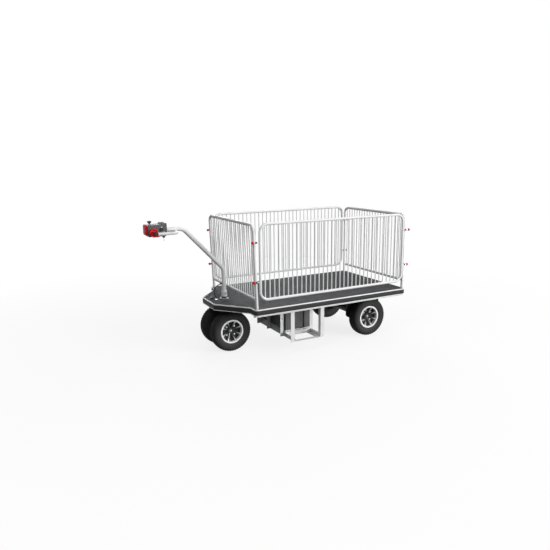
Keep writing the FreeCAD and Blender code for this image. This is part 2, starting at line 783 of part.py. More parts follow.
def rim(x, y, outward):
    """Bright face of the wheel: a broad outer ring with its flange, the dished spokes and a bored hub."""
    seat = BEAD_RADIUS - SEAT_GAP
    inside = BEAD_HALF_WIDTH + SEAT_GAP
    ring = FLANGE_RADIUS - RING_WIDTH
    barrel = BEAD_RADIUS - BARREL_WALL
    step = RIM_FACE - RING_DEPTH
    split = SPLIT_FACE + SEAT_GAP
    outer = [
        (seat, split), (seat, inside), (FLANGE_RADIUS, inside), (FLANGE_RADIUS, RIM_FACE - RIM_EDGE),
        (FLANGE_RADIUS - RIM_EDGE, RIM_FACE), (ring + RIM_EDGE, RIM_FACE), (ring, RIM_FACE - RIM_EDGE),
        (ring, step), (barrel, step - RING_SLOPE), (barrel, split),
    ]
    back = HUB_FACE - HUB_LENGTH
    hub = [
        (0, back), (HUB_RADIUS - DISC_THICK, back), (HUB_RADIUS, back + HUB_TAPER),
        (HUB_RADIUS, HUB_FACE - RIM_EDGE), (HUB_RADIUS - RIM_EDGE, HUB_FACE), (0, HUB_FACE),
    ]
    pieces = [wheel_part(outer, x, y, outward), wheel_part(hub, x, y, outward)]
    bore = cylinder(AXLE_RADIUS + RUNNING_GAP, (x, y - RIM_FACE, TYRE_RADIUS), (x, y + RIM_FACE, TYRE_RADIUS))
    return fused(pieces + spokes(x, y, outward)).cut(bore)


def wheel_disc(x, y, outward):
    """Black inner half of the wheel: its barrel and flange, closed by a dished disc behind the spokes."""
    seat = BEAD_RADIUS - SEAT_GAP
    inside = BEAD_HALF_WIDTH + SEAT_GAP
    barrel = BEAD_RADIUS - BARREL_WALL
    hub = HUB_RADIUS + SEAT_GAP
    dish = SPLIT_FACE - DISC_DISH
    profile = [
        (hub, dish - DISC_THICK), (barrel, -DISC_THICK), (barrel, -RIM_FACE),
        (FLANGE_RADIUS - RIM_EDGE, -RIM_FACE), (FLANGE_RADIUS, -RIM_FACE + RIM_EDGE), (FLANGE_RADIUS, -inside),
        (seat, -inside), (seat, SPLIT_FACE), (barrel, SPLIT_FACE), (hub, dish),
    ]
    return wheel_part(profile, x, y, outward)


def hub_cap(x, y, outward):
    """Domed cap over the axle's end, cut from a ball."""
    face = HUB_FACE + SEAT_GAP
    ball = (CAP_RADIUS ** 2 + CAP_RISE ** 2) / (2 * CAP_RISE)
    centre = Vec(x, y + outward * (face + CAP_RISE - ball), TYRE_RADIUS)
    start = Vec(x, y + outward * face, TYRE_RADIUS)
    stub = cylinder(CAP_RADIUS, start, start + LEFTWARD * (outward * ball))
    return Part.makeSphere(ball, centre).common(stub)


def make_wheels():
    pair = [(STEER_X, side * FRONT_TRACK / 2, side) for side in SIDES]
    save("front_tyres", *[tyre(x, y) for x, y, side in pair])
    save("front_rims", *[rim(*place) for place in pair])
    save("front_wheel_discs", *[wheel_disc(*place) for place in pair])
    save("front_hub_caps", *[hub_cap(*place) for place in pair])
    x = station(REAR_AXLE_STATION)
    for name, side in (("rear_left_", 1), ("rear_right_", -1)):
        y = side * REAR_TRACK / 2
        save(name + "tyre", tyre(x, y))
        save(name + "rim", rim(x, y, side))
        save(name + "wheel_disc", wheel_disc(x, y, side))
        save(name + "hub_cap", hub_cap(x, y, side))


# Rear axle with its drive unit

def axle_bracket(x, side):
    """Plate that hangs from the underframe and carries the axle beam, wide above and narrow below."""
    z = TYRE_RADIUS
    half = BRACKET_HALF_LENGTH
    shoulder = z + BRACKET_EAR - BRACKET_CHAMFER
    outline = [
        (-half, CROSS_UNDER), (-half, z + BRACKET_EAR), (-half + BRACKET_CHAMFER, shoulder),
        (-BRACKET_HALF_FOOT, z - BRACKET_DROP), (BRACKET_HALF_FOOT, z - BRACKET_DROP),
        (half - BRACKET_CHAMFER, shoulder), (half, z + BRACKET_EAR), (half, CROSS_UNDER),
    ]
    outer = side * BRACKET_SPREAD
    plate = polygon([(x + along, outer, level) for along, level in outline])
    plate = plate.extrude(LEFTWARD * (-side * BRACKET_THICK))
    return plate.cut(cylinder(BEAM_RADIUS + SEAT_GAP, (x, 0, z), (x, outer + side * BRACKET_THICK, z)))


def gearbox(x, motor_x, motor_z):
    """Cast housing clamped on the axle beam, reaching back to the motor's face."""
    z = TYRE_RADIUS
    step = GEARBOX_OUTER - GEARBOX_STEP
    rise = [
        (x, z - GEARBOX_RADIUS + GEARBOX_STEP), (x, z + GEARBOX_RADIUS - MOTOR_STEP),
        (motor_x, motor_z + MOTOR_RADIUS - MOTOR_STEP), (motor_x, motor_z - MOTOR_RADIUS + MOTOR_STEP),
    ]
    pieces = [
        cylinder(GEARBOX_RADIUS, (x, GEARBOX_INNER, z), (x, GEARBOX_OUTER, z)),
        cylinder(MOTOR_RADIUS, (motor_x, GEARBOX_INNER, motor_z), (motor_x, step, motor_z)),
        polygon([(px, GEARBOX_INNER, pz) for px, pz in rise]).extrude(LEFTWARD * (step - GEARBOX_INNER)),
    ]
    return fused(pieces).cut(cylinder(BEAM_RADIUS + SEAT_GAP, (x, 0, z), (x, BRACKET_SPREAD, z)))


def make_rear_axle():
    x = station(REAR_AXLE_STATION)
    z = TYRE_RADIUS
    beam_end = BRACKET_SPREAD + BEAM_BEYOND
    shaft_end = REAR_TRACK / 2 + HUB_FACE - AXLE_SHORT
    beam = cylinder(BEAM_RADIUS, (x, -beam_end, z), (x, beam_end, z))
    shaft = cylinder(AXLE_RADIUS, (x, -shaft_end, z), (x, shaft_end, z))
    save("rear_axle", fused([beam, shaft]))
    save("axle_brackets", *[axle_bracket(x, side) for side in SIDES])

    motor_x = x - MOTOR_BEHIND
    motor_z = z + MOTOR_RISE
    save("drive_gearbox", gearbox(x, motor_x, motor_z))
    neck = MOTOR_RADIUS - MOTOR_STEP
    cap = MOTOR_LENGTH - MOTOR_CAP
    edge = MOTOR_LENGTH - MOTOR_CAP_EDGE
    shell = [
        (0, 0), (neck, 0), (neck, MOTOR_FACE), (MOTOR_RADIUS, MOTOR_FACE), (MOTOR_RADIUS, cap), (neck, cap),
        (neck, edge), (neck - MOTOR_CAP_EDGE, MOTOR_LENGTH), (0, MOTOR_LENGTH),
    ]
    face = Vec(motor_x, GEARBOX_INNER - SEAT_GAP, motor_z)
    save("drive_motor", turned(shell, face, LEFTWARD * -1))


# Steered front axle and tiller

def yoke_section(half_sizes, level):
    """Rounded rectangle round the steering axis."""
    half_x, half_y = half_sizes
    corners = [(half_x, half_y), (-half_x, half_y), (-half_x, -half_y), (half_x, -half_y)]
    return rounded_outline([(STEER_X + x, y, YOKE_CORNER) for x, y in corners], level)


def make_front_axle():
    z = TYRE_RADIUS
    reach = FRONT_TRACK / 2 + HUB_FACE - AXLE_SHORT
    save("front_axle", cylinder(AXLE_RADIUS, (STEER_X, -reach, z), (STEER_X, reach, z)))

    top = CROSS_UNDER - TURNTABLE_GAP
    under = top - TURNTABLE_THICK
    levels = ((YOKE_TOP, under + 1), (YOKE_WAIST, top - YOKE_SHOULDER), (YOKE_FOOT, z))
    sections = [yoke_section(half_sizes, level) for half_sizes, level in levels]
    pieces = [
        Part.makeLoft(sections, True, True),
        cylinder(YOKE_HUB_RADIUS, (STEER_X, -YOKE_HUB_HALF, z), (STEER_X, YOKE_HUB_HALF, z)),
        cylinder(TURNTABLE_RADIUS, (STEER_X, 0, under), (STEER_X, 0, top)),
        cylinder(KINGPIN_RADIUS, (STEER_X, 0, under), tiller_point(0, 0, SEAL_TOP)),
    ]
    axle_hole = cylinder(AXLE_RADIUS + RUNNING_GAP, (STEER_X, -reach, z), (STEER_X, reach, z))
    save("steering_yoke", fused(pieces).cut(axle_hole))


def tiller():
    """Tiller tube: upright out of its collar, bent forward, then level into the control head."""
    path = [
        tiller_point(0, 0, COLLAR_FOOT), tiller_point(0, 0, TILLER_KNEE),
        tiller_point(TILLER_ELBOW_REACH, 0, TILLER_TOP), tiller_point(TILLER_END_REACH, 0, TILLER_TOP),
    ]
    return bent_rod(path, TILLER_BEND, TILLER_RADIUS)


def make_collar():
    """Clamp collar at the tiller's foot, the rubber seal under it, and the flanged disc on the deck."""
    deck = tiller_point(0, 0, 0)
    inner = TILLER_RADIUS + SEAT_GAP
    collar = [
        (inner, COLLAR_FOOT), (COLLAR_RADIUS, COLLAR_FOOT), (COLLAR_RADIUS, COLLAR_TOP - COLLAR_CHAMFER),
        (COLLAR_RADIUS - COLLAR_CHAMFER, COLLAR_TOP), (inner, COLLAR_TOP),
    ]
    bolt_start = tiller_point(0, inner, COLLAR_BOLT_HEIGHT)
    bolt_end = tiller_point(0, COLLAR_RADIUS + 1, COLLAR_BOLT_HEIGHT)
    bolt_hole = cylinder(COLLAR_BOLT_RADIUS, bolt_start, bolt_end)
    save("tiller_collar", turned(collar, deck, UP).cut(bolt_hole))
    inner = KINGPIN_RADIUS + SEAT_GAP
    foot = BOSS_TOP + SLIM_GAP
    seal = [(inner, foot), (SEAL_RADIUS, foot), (SEAL_RADIUS, SEAL_TOP), (inner, SEAL_TOP)]
    save("steering_seal", turned(seal, deck, UP))
    disc = [
        (BOSS_BORE, 0), (FLANGE_DISC_RADIUS, 0), (FLANGE_DISC_RADIUS, FLANGE_DISC_THICK),
        (BOSS_RADIUS, FLANGE_DISC_THICK), (BOSS_RADIUS, BOSS_TOP - BOSS_CHAMFER),
        (BOSS_RADIUS - BOSS_CHAMFER, BOSS_TOP), (BOSS_BORE, BOSS_TOP),
    ]
    save("steering_disc", turned(disc, deck, UP))


def make_tiller():
    save("tiller_tube", tiller())
    make_collar()
    end = GRIP_REACH - BAR_END
    corners = [
        tiller_point(end, BAR_SPREAD, BAR_HEIGHT), tiller_point(BAR_REAR_REACH, BAR_SPREAD, BAR_HEIGHT),
        tiller_point(BAR_REAR_REACH, -BAR_SPREAD, BAR_HEIGHT), tiller_point(end, -BAR_SPREAD, BAR_HEIGHT),
    ]
    tube_start = tiller_point(TILLER_ELBOW_REACH, 0, TILLER_TOP)
    tube_room = cylinder(TILLER_RADIUS + SEAT_GAP, tube_start, tiller_point(HEAD_REAR_REACH, 0, TILLER_TOP))
    hub_start = tiller_point(GRIP_REACH, -GRIP_HUB_END, BAR_HEIGHT)
    hub_end = tiller_point(GRIP_REACH, GRIP_HUB_END, BAR_HEIGHT)
    hub_room = cylinder(GRIP_HUB_RADIUS + SEAT_GAP, hub_start, hub_end)
    save("handlebar", bent_rod(corners, BAR_BEND, HANDLE_RADIUS).cut([tube_room, hub_room]))


# Control head

def pad_outline(reach, half_y, low, high, radius):
    """Rounded upright rectangle facing forward, for lofts along the cart."""
    corners = [(half_y, low), (half_y, high), (-half_y, high), (-half_y, low)]
    flat = rounded_outline([(y, z, radius) for y, z in corners], 0)
    facing = FreeCAD.Rotation(LEFTWARD, UP, AHEAD, "XYZ")
    flat.Placement = FreeCAD.Placement(tiller_point(reach, 0, 0), facing)
    return flat


def make_housing():
    half = HEAD_WIDTH / 2
    rear = HEAD_REAR_REACH + COVER_THICK
    front = HEAD_FRONT_REACH
    crest = rear + CREST_LENGTH
    side_view = [
        (rear, HEAD_FOOT), (rear, HEAD_CREST), (crest, HEAD_CREST), (crest + CREST_SLOPE, HEAD_TOP),
        (front - BROW / 2, HEAD_TOP - BROW / 2), (front, HEAD_TOP - BROW),
        (front, HEAD_FOOT + CHIN), (front - CHIN, HEAD_FOOT),
    ]
    face = polygon([tiller_point(reach, -half, height) for reach, height in side_view])
    housing = face.extrude(LEFTWARD * HEAD_WIDTH)
    rim_edges = [edge for edge in housing.Edges if abs(edge.tangentAt(edge.FirstParameter).y) < 0.1]
    save("head_housing", housing.makeFillet(HEAD_FILLET, rim_edges))


def make_rear_cover():
    half = HEAD_WIDTH / 2 - COVER_INSET
    top = HEAD_CREST - COVER_INSET
    taper = COVER_TAPER
    front = HEAD_REAR_REACH + COVER_THICK - SEAT_GAP
    sections = [
        pad_outline(HEAD_REAR_REACH, half - taper, COVER_FOOT, top - taper, COVER_CORNER - taper),
        pad_outline(front, half, COVER_FOOT - taper, top, COVER_CORNER),
    ]
    bore_end = tiller_point(TILLER_END_REACH + SLIM_GAP, 0, TILLER_TOP)
    bore = cylinder(TILLER_RADIUS + SEAT_GAP, tiller_point(BAR_REAR_REACH, 0, TILLER_TOP), bore_end)
    save("head_rear_cover", Part.makeLoft(sections, True).cut(bore))


def make_belly_switch():
    """Red safety pad on the front of the head, on a black seal."""
    low = SWITCH_FOOT
    high = SWITCH_TOP
    half = SWITCH_HALF_WIDTH
    inset = SEAL_INSET
    seat = HEAD_FRONT_REACH + SWITCH_SEAT
    seal = []
    for reach in (HEAD_FRONT_REACH + SEAT_GAP, seat - SEAT_GAP):
        seal.append(pad_outline(reach, half - inset, low + inset, high - inset, SWITCH_CORNER - inset))
    save("belly_switch_seal", Part.makeLoft(seal, True))
    taper = SWITCH_TAPER
    pad = [
        pad_outline(seat, half, low, high, SWITCH_CORNER),
        pad_outline(HEAD_REACH - SWITCH_ROUNDING, half, low, high, SWITCH_CORNER),
        pad_outline(HEAD_REACH, half - taper, low + taper, high - taper, SWITCH_CORNER - inset),
    ]
    save("belly_switch", Part.makeLoft(pad, True, True))


def make_head():
    make_housing()
    make_rear_cover()
    make_belly_switch()
    knob = [
        (0, 0), (STOP_STEM_RADIUS, 0), (STOP_STEM_RADIUS, STOP_STEM), (STOP_RADIUS, STOP_STEM),
        (STOP_RADIUS, STOP_TALL - STOP_CHAMFER), (STOP_RADIUS - STOP_CHAMFER, STOP_TALL), (0, STOP_TALL),
    ]
    save("stop_knob", turned(knob, tiller_point(STOP_REACH, 0, STOP_FOOT), UP))
    dial = [
        (0, 0), (GAUGE_RADIUS, 0), (GAUGE_RADIUS, GAUGE_TALL - GAUGE_BEVEL),
        (GAUGE_RADIUS - GAUGE_BEVEL, GAUGE_TALL), (0, GAUGE_TALL),
    ]
    save("battery_gauge", turned(dial, tiller_point(GAUGE_REACH, 0, HEAD_CREST + SEAT_GAP), UP))


def throttle_wing():
    """Left thumb wing: a dished disc ahead of the grip hub, with a tail below and behind the hub."""
    inner = HEAD_WIDTH / 2 + WING_GAP
    outer = inner + WING_THICK
    disc = tiller_point(GRIP_REACH + WING_AHEAD, inner, BAR_HEIGHT + WING_RISE)
    tail = tiller_point(GRIP_REACH - WING_TAIL_BEHIND, inner, BAR_HEIGHT - WING_TAIL_DROP)
    outline = belt_outline(disc, WING_RADIUS, tail, WING_TAIL_RADIUS)
    wing = Part.Face(outline).extrude(LEFTWARD * WING_THICK)
    rim_edges = [edge for edge in wing.Edges if min(vertex.Y for vertex in edge.Vertexes) > outer - SEAT_GAP]
    wing = wing.makeFillet(WING_FILLET, rim_edges)
    floor = WING_THICK - WING_DISH_DEPTH
    brim = WING_THICK + SLIM_GAP
    dish = turned([(0, floor), (WING_DISH_FLOOR, floor), (WING_DISH_RADIUS, brim), (0, brim)], disc, LEFTWARD)
    hub_end = tiller_point(GRIP_REACH, GRIP_HUB_END, BAR_HEIGHT)
    hub_room = cylinder(GRIP_HUB_RADIUS + SEAT_GAP, tiller_point(GRIP_REACH, 0, BAR_HEIGHT), hub_end)
    return wing.cut([dish, hub_room])


def make_throttle():
    wing = throttle_wing()
    save("throttle_wings", wing, mirrored(wing))
    start = HEAD_WIDTH / 2 + SEAT_GAP
    edge = GRIP_HUB_END - GRIP_HUB_CHAMFER
    profile = [
        (0, start), (GRIP_HUB_RADIUS, start), (GRIP_HUB_RADIUS, edge),
        (GRIP_HUB_RADIUS - GRIP_HUB_CHAMFER, GRIP_HUB_END), (0, GRIP_HUB_END),
    ]
    hub = turned(profile, tiller_point(GRIP_REACH, 0, BAR_HEIGHT), LEFTWARD)
    save("throttle_hubs", hub, mirrored(hub))


def key_bow(root, up):
    """Flat finger grip of a key, widening from its neck at the root."""
    neck = BOW_NECK / 2
    wide = BOW_WIDTH / 2
    middle = up * BOW_LENGTH / 2
    end = up * BOW_LENGTH
    outline = [(neck, 0), (wide, middle), (neck, end), (-neck, end), (-wide, middle), (-neck, 0)]
    return polygon([root + Vec(x, 0, z) for x, z in outline]).extrude(LEFTWARD * KEY_THICK)


def make_keys():
    half = HEAD_WIDTH / 2
    lock = tiller_point(LOCK_REACH, half, LOCK_HEIGHT)
    edge = LOCK_RISE - LOCK_CHAMFER
    barrel = [
        (0, SEAT_GAP), (LOCK_RADIUS, SEAT_GAP), (LOCK_RADIUS, edge), (LOCK_RADIUS - LOCK_CHAMFER, LOCK_RISE),
        (0, LOCK_RISE),
    ]
    save("key_switch", turned(barrel, lock, LEFTWARD))
    inserted = key_bow(lock + Vec(0, LOCK_RISE + SEAT_GAP, KEY_THICK), -1)
    hanging = lock + Vec(-SPARE_BEHIND, SPARE_BESIDE, -SPARE_BELOW)
    save("key_bows", inserted, key_bow(hanging, 1))

    shoulder = hanging + Vec(-BLADE_WIDTH / 2, (KEY_THICK - BLADE_THICK) / 2, -SEAT_GAP)
    blade = box(shoulder, shoulder + Vec(BLADE_WIDTH, BLADE_THICK, -BLADE_LENGTH))
    link_centre = hanging + Vec(0, KEY_THICK / 2, BOW_LENGTH + LINK_RADIUS + LINK_WIRE + SEAT_GAP)
    save("key_blade_and_ring", blade, Part.makeTorus(LINK_RADIUS, LINK_WIRE, link_centre, LEFTWARD))


def make_controls():
    make_throttle()
    make_keys()


# Lead from the tiller to the deck

def lead_wire():
    """Centre line of the lead: straight runs joined by tangent arcs, as large as the runs allow."""
    points = [tiller_point(reach, 0, height) for reach, height in LEAD_ROUTE]
    edges = []
    start = points[0]
    for before, here, after in zip(points, points[1:], points[2:]):
        inward = (here - before).normalize()
        outward = (after - here).normalize()
        half_turn = inward.getAngle(outward) / 2
        setback = ARC_SHARE * min((here - before).Length, (after - here).Length)
        radius = setback / math.tan(half_turn)
        arrive = here - inward * setback
        leave = here + outward * setback
        across = (outward - inward).normalize()
        middle = here + across * (radius / math.cos(half_turn) - radius)
        edges.append(Part.LineSegment(start, arrive).toShape())
        edges.append(Part.Arc(arrive, middle, leave).toShape())
        start = leave
        print("lead bend radius %.1f mm" % radius)
    edges.append(Part.LineSegment(start, points[-1]).toShape())
    return Part.Wire(edges)


def route_course(one, other):
    """Direction from one point of the lead's route to another."""
    return (tiller_point(other[0], 0, other[1]) - tiller_point(one[0], 0, one[1])).normalize()


def make_lead():
    wire = lead_wire()
    start = tiller_point(LEAD_ROUTE[0][0], 0, LEAD_ROUTE[0][1])
    end = tiller_point(LEAD_ROUTE[-1][0], 0, LEAD_ROUTE[-1][1])
    outward = route_course(LEAD_ROUTE[0], LEAD_ROUTE[1])
    section = Part.Wire(Part.makeCircle(LEAD_RADIUS, start, outward))
    lead = wire.makePipeShell([section], True, False)
    expected = math.pi * LEAD_RADIUS ** 2 * wire.Length
    print("lead %.1f mm long, volume %.0f against %.0f mm3" % (wire.Length, lead.Volume, expected))
    save("tiller_lead", lead)

    boot = [
        (0, -BOOT_LENGTH), (BOOT_ROOT_RADIUS, -BOOT_LENGTH), (BOOT_ROOT_RADIUS, -BOOT_TAPER),
        (BOOT_TIP_RADIUS, 0), (0, 0),
    ]
    tube_start = tiller_point(0, 0, COLLAR_TOP)
    tube_room = cylinder(TILLER_RADIUS + SEAT_GAP, tube_start, tiller_point(0, 0, TILLER_KNEE))
    save("lead_boot", turned(boot, start - outward * SEAT_GAP, outward).cut(tube_room))

    base = tiller_point(SOCKET_REACH, 0, 0)
    downward = route_course(LEAD_ROUTE[-2], LEAD_ROUTE[-1])
    flange = cylinder(SOCKET_RADIUS, base, base + UP * SOCKET_FLANGE)
    neck = [(0, 0), (SOCKET_NECK_RADIUS, 0), (SOCKET_NECK_RADIUS, SOCKET_NECK), (0, SOCKET_NECK)]
    save("lead_socket", fused([flange, turned(neck, end + downward * SEAT_GAP, downward)]))


def make_socket_cap():
    """Rubber cap for the socket, lying on the deck by its tongue."""
    centre = tiller_point(CAP_REACH, CAP_SIDE, 0)
    edge = SOCKET_CAP_CHAMFER
    profile = [
        (0, 0), (SOCKET_CAP_RADIUS, 0), (SOCKET_CAP_RADIUS, SOCKET_CAP_TALL - edge),
        (SOCKET_CAP_RADIUS - edge, SOCKET_CAP_TALL), (0, SOCKET_CAP_TALL),
    ]
    tongue_end = centre + Vec(TONGUE_LENGTH, TONGUE_WIDTH / 2, TONGUE_THICK)
    tongue = box(centre - LEFTWARD * (TONGUE_WIDTH / 2), tongue_end)
    save("socket_cap", fused([turned(profile, centre, UP), tongue]))


os.makedirs("parts", exist_ok=True)
make_deck()
make_underframe()
make_cage()
make_bay_frame()
make_battery()
make_wheels()
make_rear_axle()
make_front_axle()
make_tiller()
make_head()
make_controls()
make_lead()
make_socket_cap()
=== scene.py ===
import json
import math

import bmesh
import bpy
from mathutils import Matrix, Vector
from mathutils.bvhtree import BVHTree


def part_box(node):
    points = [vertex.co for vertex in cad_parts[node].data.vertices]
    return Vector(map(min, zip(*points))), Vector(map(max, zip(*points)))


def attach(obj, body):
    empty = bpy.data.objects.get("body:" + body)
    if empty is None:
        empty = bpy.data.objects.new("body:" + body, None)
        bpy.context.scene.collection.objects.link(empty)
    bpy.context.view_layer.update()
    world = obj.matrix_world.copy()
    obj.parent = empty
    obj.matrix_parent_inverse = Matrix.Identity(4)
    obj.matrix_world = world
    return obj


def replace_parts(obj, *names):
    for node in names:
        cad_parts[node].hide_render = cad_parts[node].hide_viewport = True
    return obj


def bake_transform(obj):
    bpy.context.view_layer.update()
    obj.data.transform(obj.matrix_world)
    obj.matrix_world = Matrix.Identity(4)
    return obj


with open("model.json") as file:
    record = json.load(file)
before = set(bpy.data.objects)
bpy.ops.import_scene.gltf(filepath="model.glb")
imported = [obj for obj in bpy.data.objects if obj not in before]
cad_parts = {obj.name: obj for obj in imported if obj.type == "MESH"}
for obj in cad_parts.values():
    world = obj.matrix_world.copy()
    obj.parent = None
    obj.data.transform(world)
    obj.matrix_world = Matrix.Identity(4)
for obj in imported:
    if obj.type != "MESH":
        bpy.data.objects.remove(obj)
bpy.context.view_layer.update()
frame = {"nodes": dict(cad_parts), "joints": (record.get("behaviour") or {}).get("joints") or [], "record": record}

MM = 0.001
TAU = 2 * math.pi
SIDES = (1, -1)
UP = Vector((0, 0, 1))
AHEAD = Vector((1, 0, 0))
LEFTWARD = Vector((0, 1, 0))

JOINTS = {joint["name"]: joint for joint in frame["joints"]}
STEER = Vector(JOINTS["steering"]["pos_m"])
DECK_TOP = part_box("deck_mat")[1].z


def mm(*values):
    """Vector from millimetres."""
    return Vector(values) * MM


def steered(reach, y, height):
    """Point from millimetres ahead of the steering axis, to its left and above the deck."""
    return Vector((STEER.x + reach * MM, y * MM, DECK_TOP + height * MM))


# Camera

CAMERA_FROM_STEERING = (1.5241, 3.7057, 1.3954)
CAMERA_TURN = (78.094, 0.570, 152.030)
CAMERA_SENSOR = 36.0
CAMERA_LENS = 35.747


def make_camera():
    """Camera ahead of the cart and to its left, placed from the foot of the steering axis."""
    data = bpy.data.cameras.new("camera")
    data.sensor_width = CAMERA_SENSOR
    data.lens = CAMERA_LENS
    camera = bpy.data.objects.new("camera", data)
    camera.location = Vector((STEER.x, STEER.y, 0)) + Vector(CAMERA_FROM_STEERING)
    camera.rotation_euler = [math.radians(angle) for angle in CAMERA_TURN]
    bpy.context.scene.collection.objects.link(camera)
    bpy.context.scene.camera = camera


# Node trees

class Tree:
    """Emptied node tree of a world or a material."""

    def __init__(self, owner):
        owner.use_nodes = True
        self.nodes = owner.node_tree.nodes
        self.links = owner.node_tree.links
        self.nodes.clear()

    def add(self, kind, inputs=None, **settings):
        """Node with its settings, each input linked from a socket or set to a value."""
        node = self.nodes.new(kind)
        for name, value in settings.items():
            setattr(node, name, value)
        for key, value in (inputs or {}).items():
            socket = node.inputs[key]
            if isinstance(value, bpy.types.NodeSocket):
                self.links.new(value, socket)
            elif socket.type == "RGBA":
                socket.default_value = (*value, 1)
            else:
                socket.default_value = value
        return node

    def calc(self, operation, first, second):
        """Number from two numbers."""
        return self.add("ShaderNodeMath", {0: first, 1: second}, operation=operation).outputs[0]

    def vector(self, operation, *inputs):
        """Node that works on vectors."""
        return self.add("ShaderNodeVectorMath", dict(enumerate(inputs)), operation=operation)

    def remap(self, value, low, high, to_low, to_high):
        """Number moved from one range to another, and held inside it."""
        node = self.add("ShaderNodeMapRange", {
            "Value": value, "From Min": low, "From Max": high, "To Min": to_low, "To Max": to_high,
        })
        return node.outputs["Result"]

    def mixed(self, factor, first, second):
        """Colour between two colours."""
        inputs = {"Factor": factor, "A": first, "B": second}
        return self.add("ShaderNodeMix", inputs, data_type="RGBA").outputs["Result"]

    def seen(self):
        """1 for rays that show a surface, also mirrored or through glass; 0 for lighting rays."""
        path = self.add("ShaderNodeLightPath")
        factor = path.outputs["Is Camera Ray"]
        for ray in ("Is Glossy Ray", "Is Transmission Ray"):
            factor = self.calc("MAXIMUM", factor, path.outputs[ray])
        return factor


# Studio and floor; each lamp is (name, place, size, power)

WHITE = (1, 1, 1)
FILL_FROM = Vector((-0.5, 0.6, 0.65))
FILL_COLOUR = (0.98, 0.985, 1.0)
FILL_START = -0.25
FILL_STRENGTH = 0.52
LAMP_TARGET = (0, 0, 0.45)
LAMPS = (
    ("key", (-4.6, 6.2, 2.0), (3.4, 2.6), 525),
    ("top", (-0.9, 0.2, 4.2), (3.0, 2.4), 22),
    ("front", (2.2, 2.0, 3.4), (1.4, 1.2), 34),
    ("back", (-1.6, -4.4, 2.2), (2.4, 1.8), 95),
)
FLOOR_RADIUS = 30
FLOOR_SEEN = (0.95, 0.95, 0.95)
FLOOR_BOUNCE = (0.12, 0.118, 0.115)
FLOOR_GLOW = 0.82
FLOOR_FADE = (1.2, 3.6)


def area_light(name, place, size, power):
    """Soft box that points at the cart."""
    data = bpy.data.lights.new(name, "AREA")
    data.shape = "RECTANGLE"
    data.size, data.size_y = size
    data.energy = power
    light = bpy.data.objects.new(name, data)
    aim = (Vector(LAMP_TARGET) - Vector(place)).to_track_quat("-Z", "Y")
    light.matrix_world = Matrix.Translation(place) @ aim.to_matrix().to_4x4()
    bpy.context.scene.collection.objects.link(light)


def make_studio():
    """Room that shows as plain white, and lights the cart from above, behind and the left."""
    world = bpy.data.worlds.new("studio")
    bpy.context.scene.world = world
    tree = Tree(world)
    outward = tree.add("ShaderNodeTexCoord").outputs["Generated"]
    aim = tree.vector("DOT_PRODUCT", outward, FILL_FROM.normalized()).outputs["Value"]
    level = tree.remap(aim, FILL_START, 1.0, 0.0, FILL_STRENGTH)
    fill = tree.add("ShaderNodeBackground", {"Color": FILL_COLOUR, "Strength": level})
    room = tree.add("ShaderNodeBackground", {"Color": WHITE, "Strength": 1.0})
    mix = tree.add("ShaderNodeMixShader", {0: tree.seen(), 1: fill.outputs[0], 2: room.outputs[0]})
    tree.add("ShaderNodeOutputWorld", {0: mix.outputs[0]})
    for lamp in LAMPS:
        area_light(*lamp)
    bpy.context.scene.view_settings.view_transform = "Standard"


def make_floor():
    """Floor that shows white with the cart's soft shadow, and turns pure white further out."""
    mesh = bpy.data.meshes.new("floor")
    bm = bmesh.new()
    bmesh.ops.create_circle(bm, cap_ends=True, radius=FLOOR_RADIUS, segments=96)
    bm.to_mesh(mesh)
    bm.free()
    floor = bpy.data.objects.new("floor", mesh)
    bpy.context.scene.collection.objects.link(floor)
    material = bpy.data.materials.new("floor")
    tree = Tree(material)
    seen = tree.seen()
    lit = tree.add("ShaderNodeBsdfDiffuse", {"Color": tree.mixed(seen, FLOOR_BOUNCE, FLOOR_SEEN)})
    glow = tree.add("ShaderNodeEmission", {"Color": WHITE, "Strength": 1.0})
    place = tree.add("ShaderNodeTexCoord").outputs["Object"]
    distance = tree.vector("LENGTH", place).outputs["Value"]
    whiteness = tree.remap(distance, *FLOOR_FADE, FLOOR_GLOW, 1.0)
    share = tree.calc("MULTIPLY", seen, whiteness)
    mix = tree.add("ShaderNodeMixShader", {0: share, 1: lit.outputs[0], 2: glow.outputs[0]})
    tree.add("ShaderNodeOutputMaterial", {0: mix.outputs[0]})
    mesh.materials.append(material)


# Materials

MOTTLE_SPAN = (0.3, 0.7)
WEAR_BEND = (0.985, 0.90)
WEAR_SPAN = (0.46, 0.66)
DUST_FACING = (0.2, 1.0)
DUST_SPAN = (0.35, 0.75)
DUST_COLOUR = (0.42, 0.40, 0.37)
COAT_ROUGHNESS = 0.18
RELIEF_DEPTH = 0.0006
BRUSH_STRETCH = (1, 1, 0.06)
UPRIGHT_PLANE = (1, 0, 1)


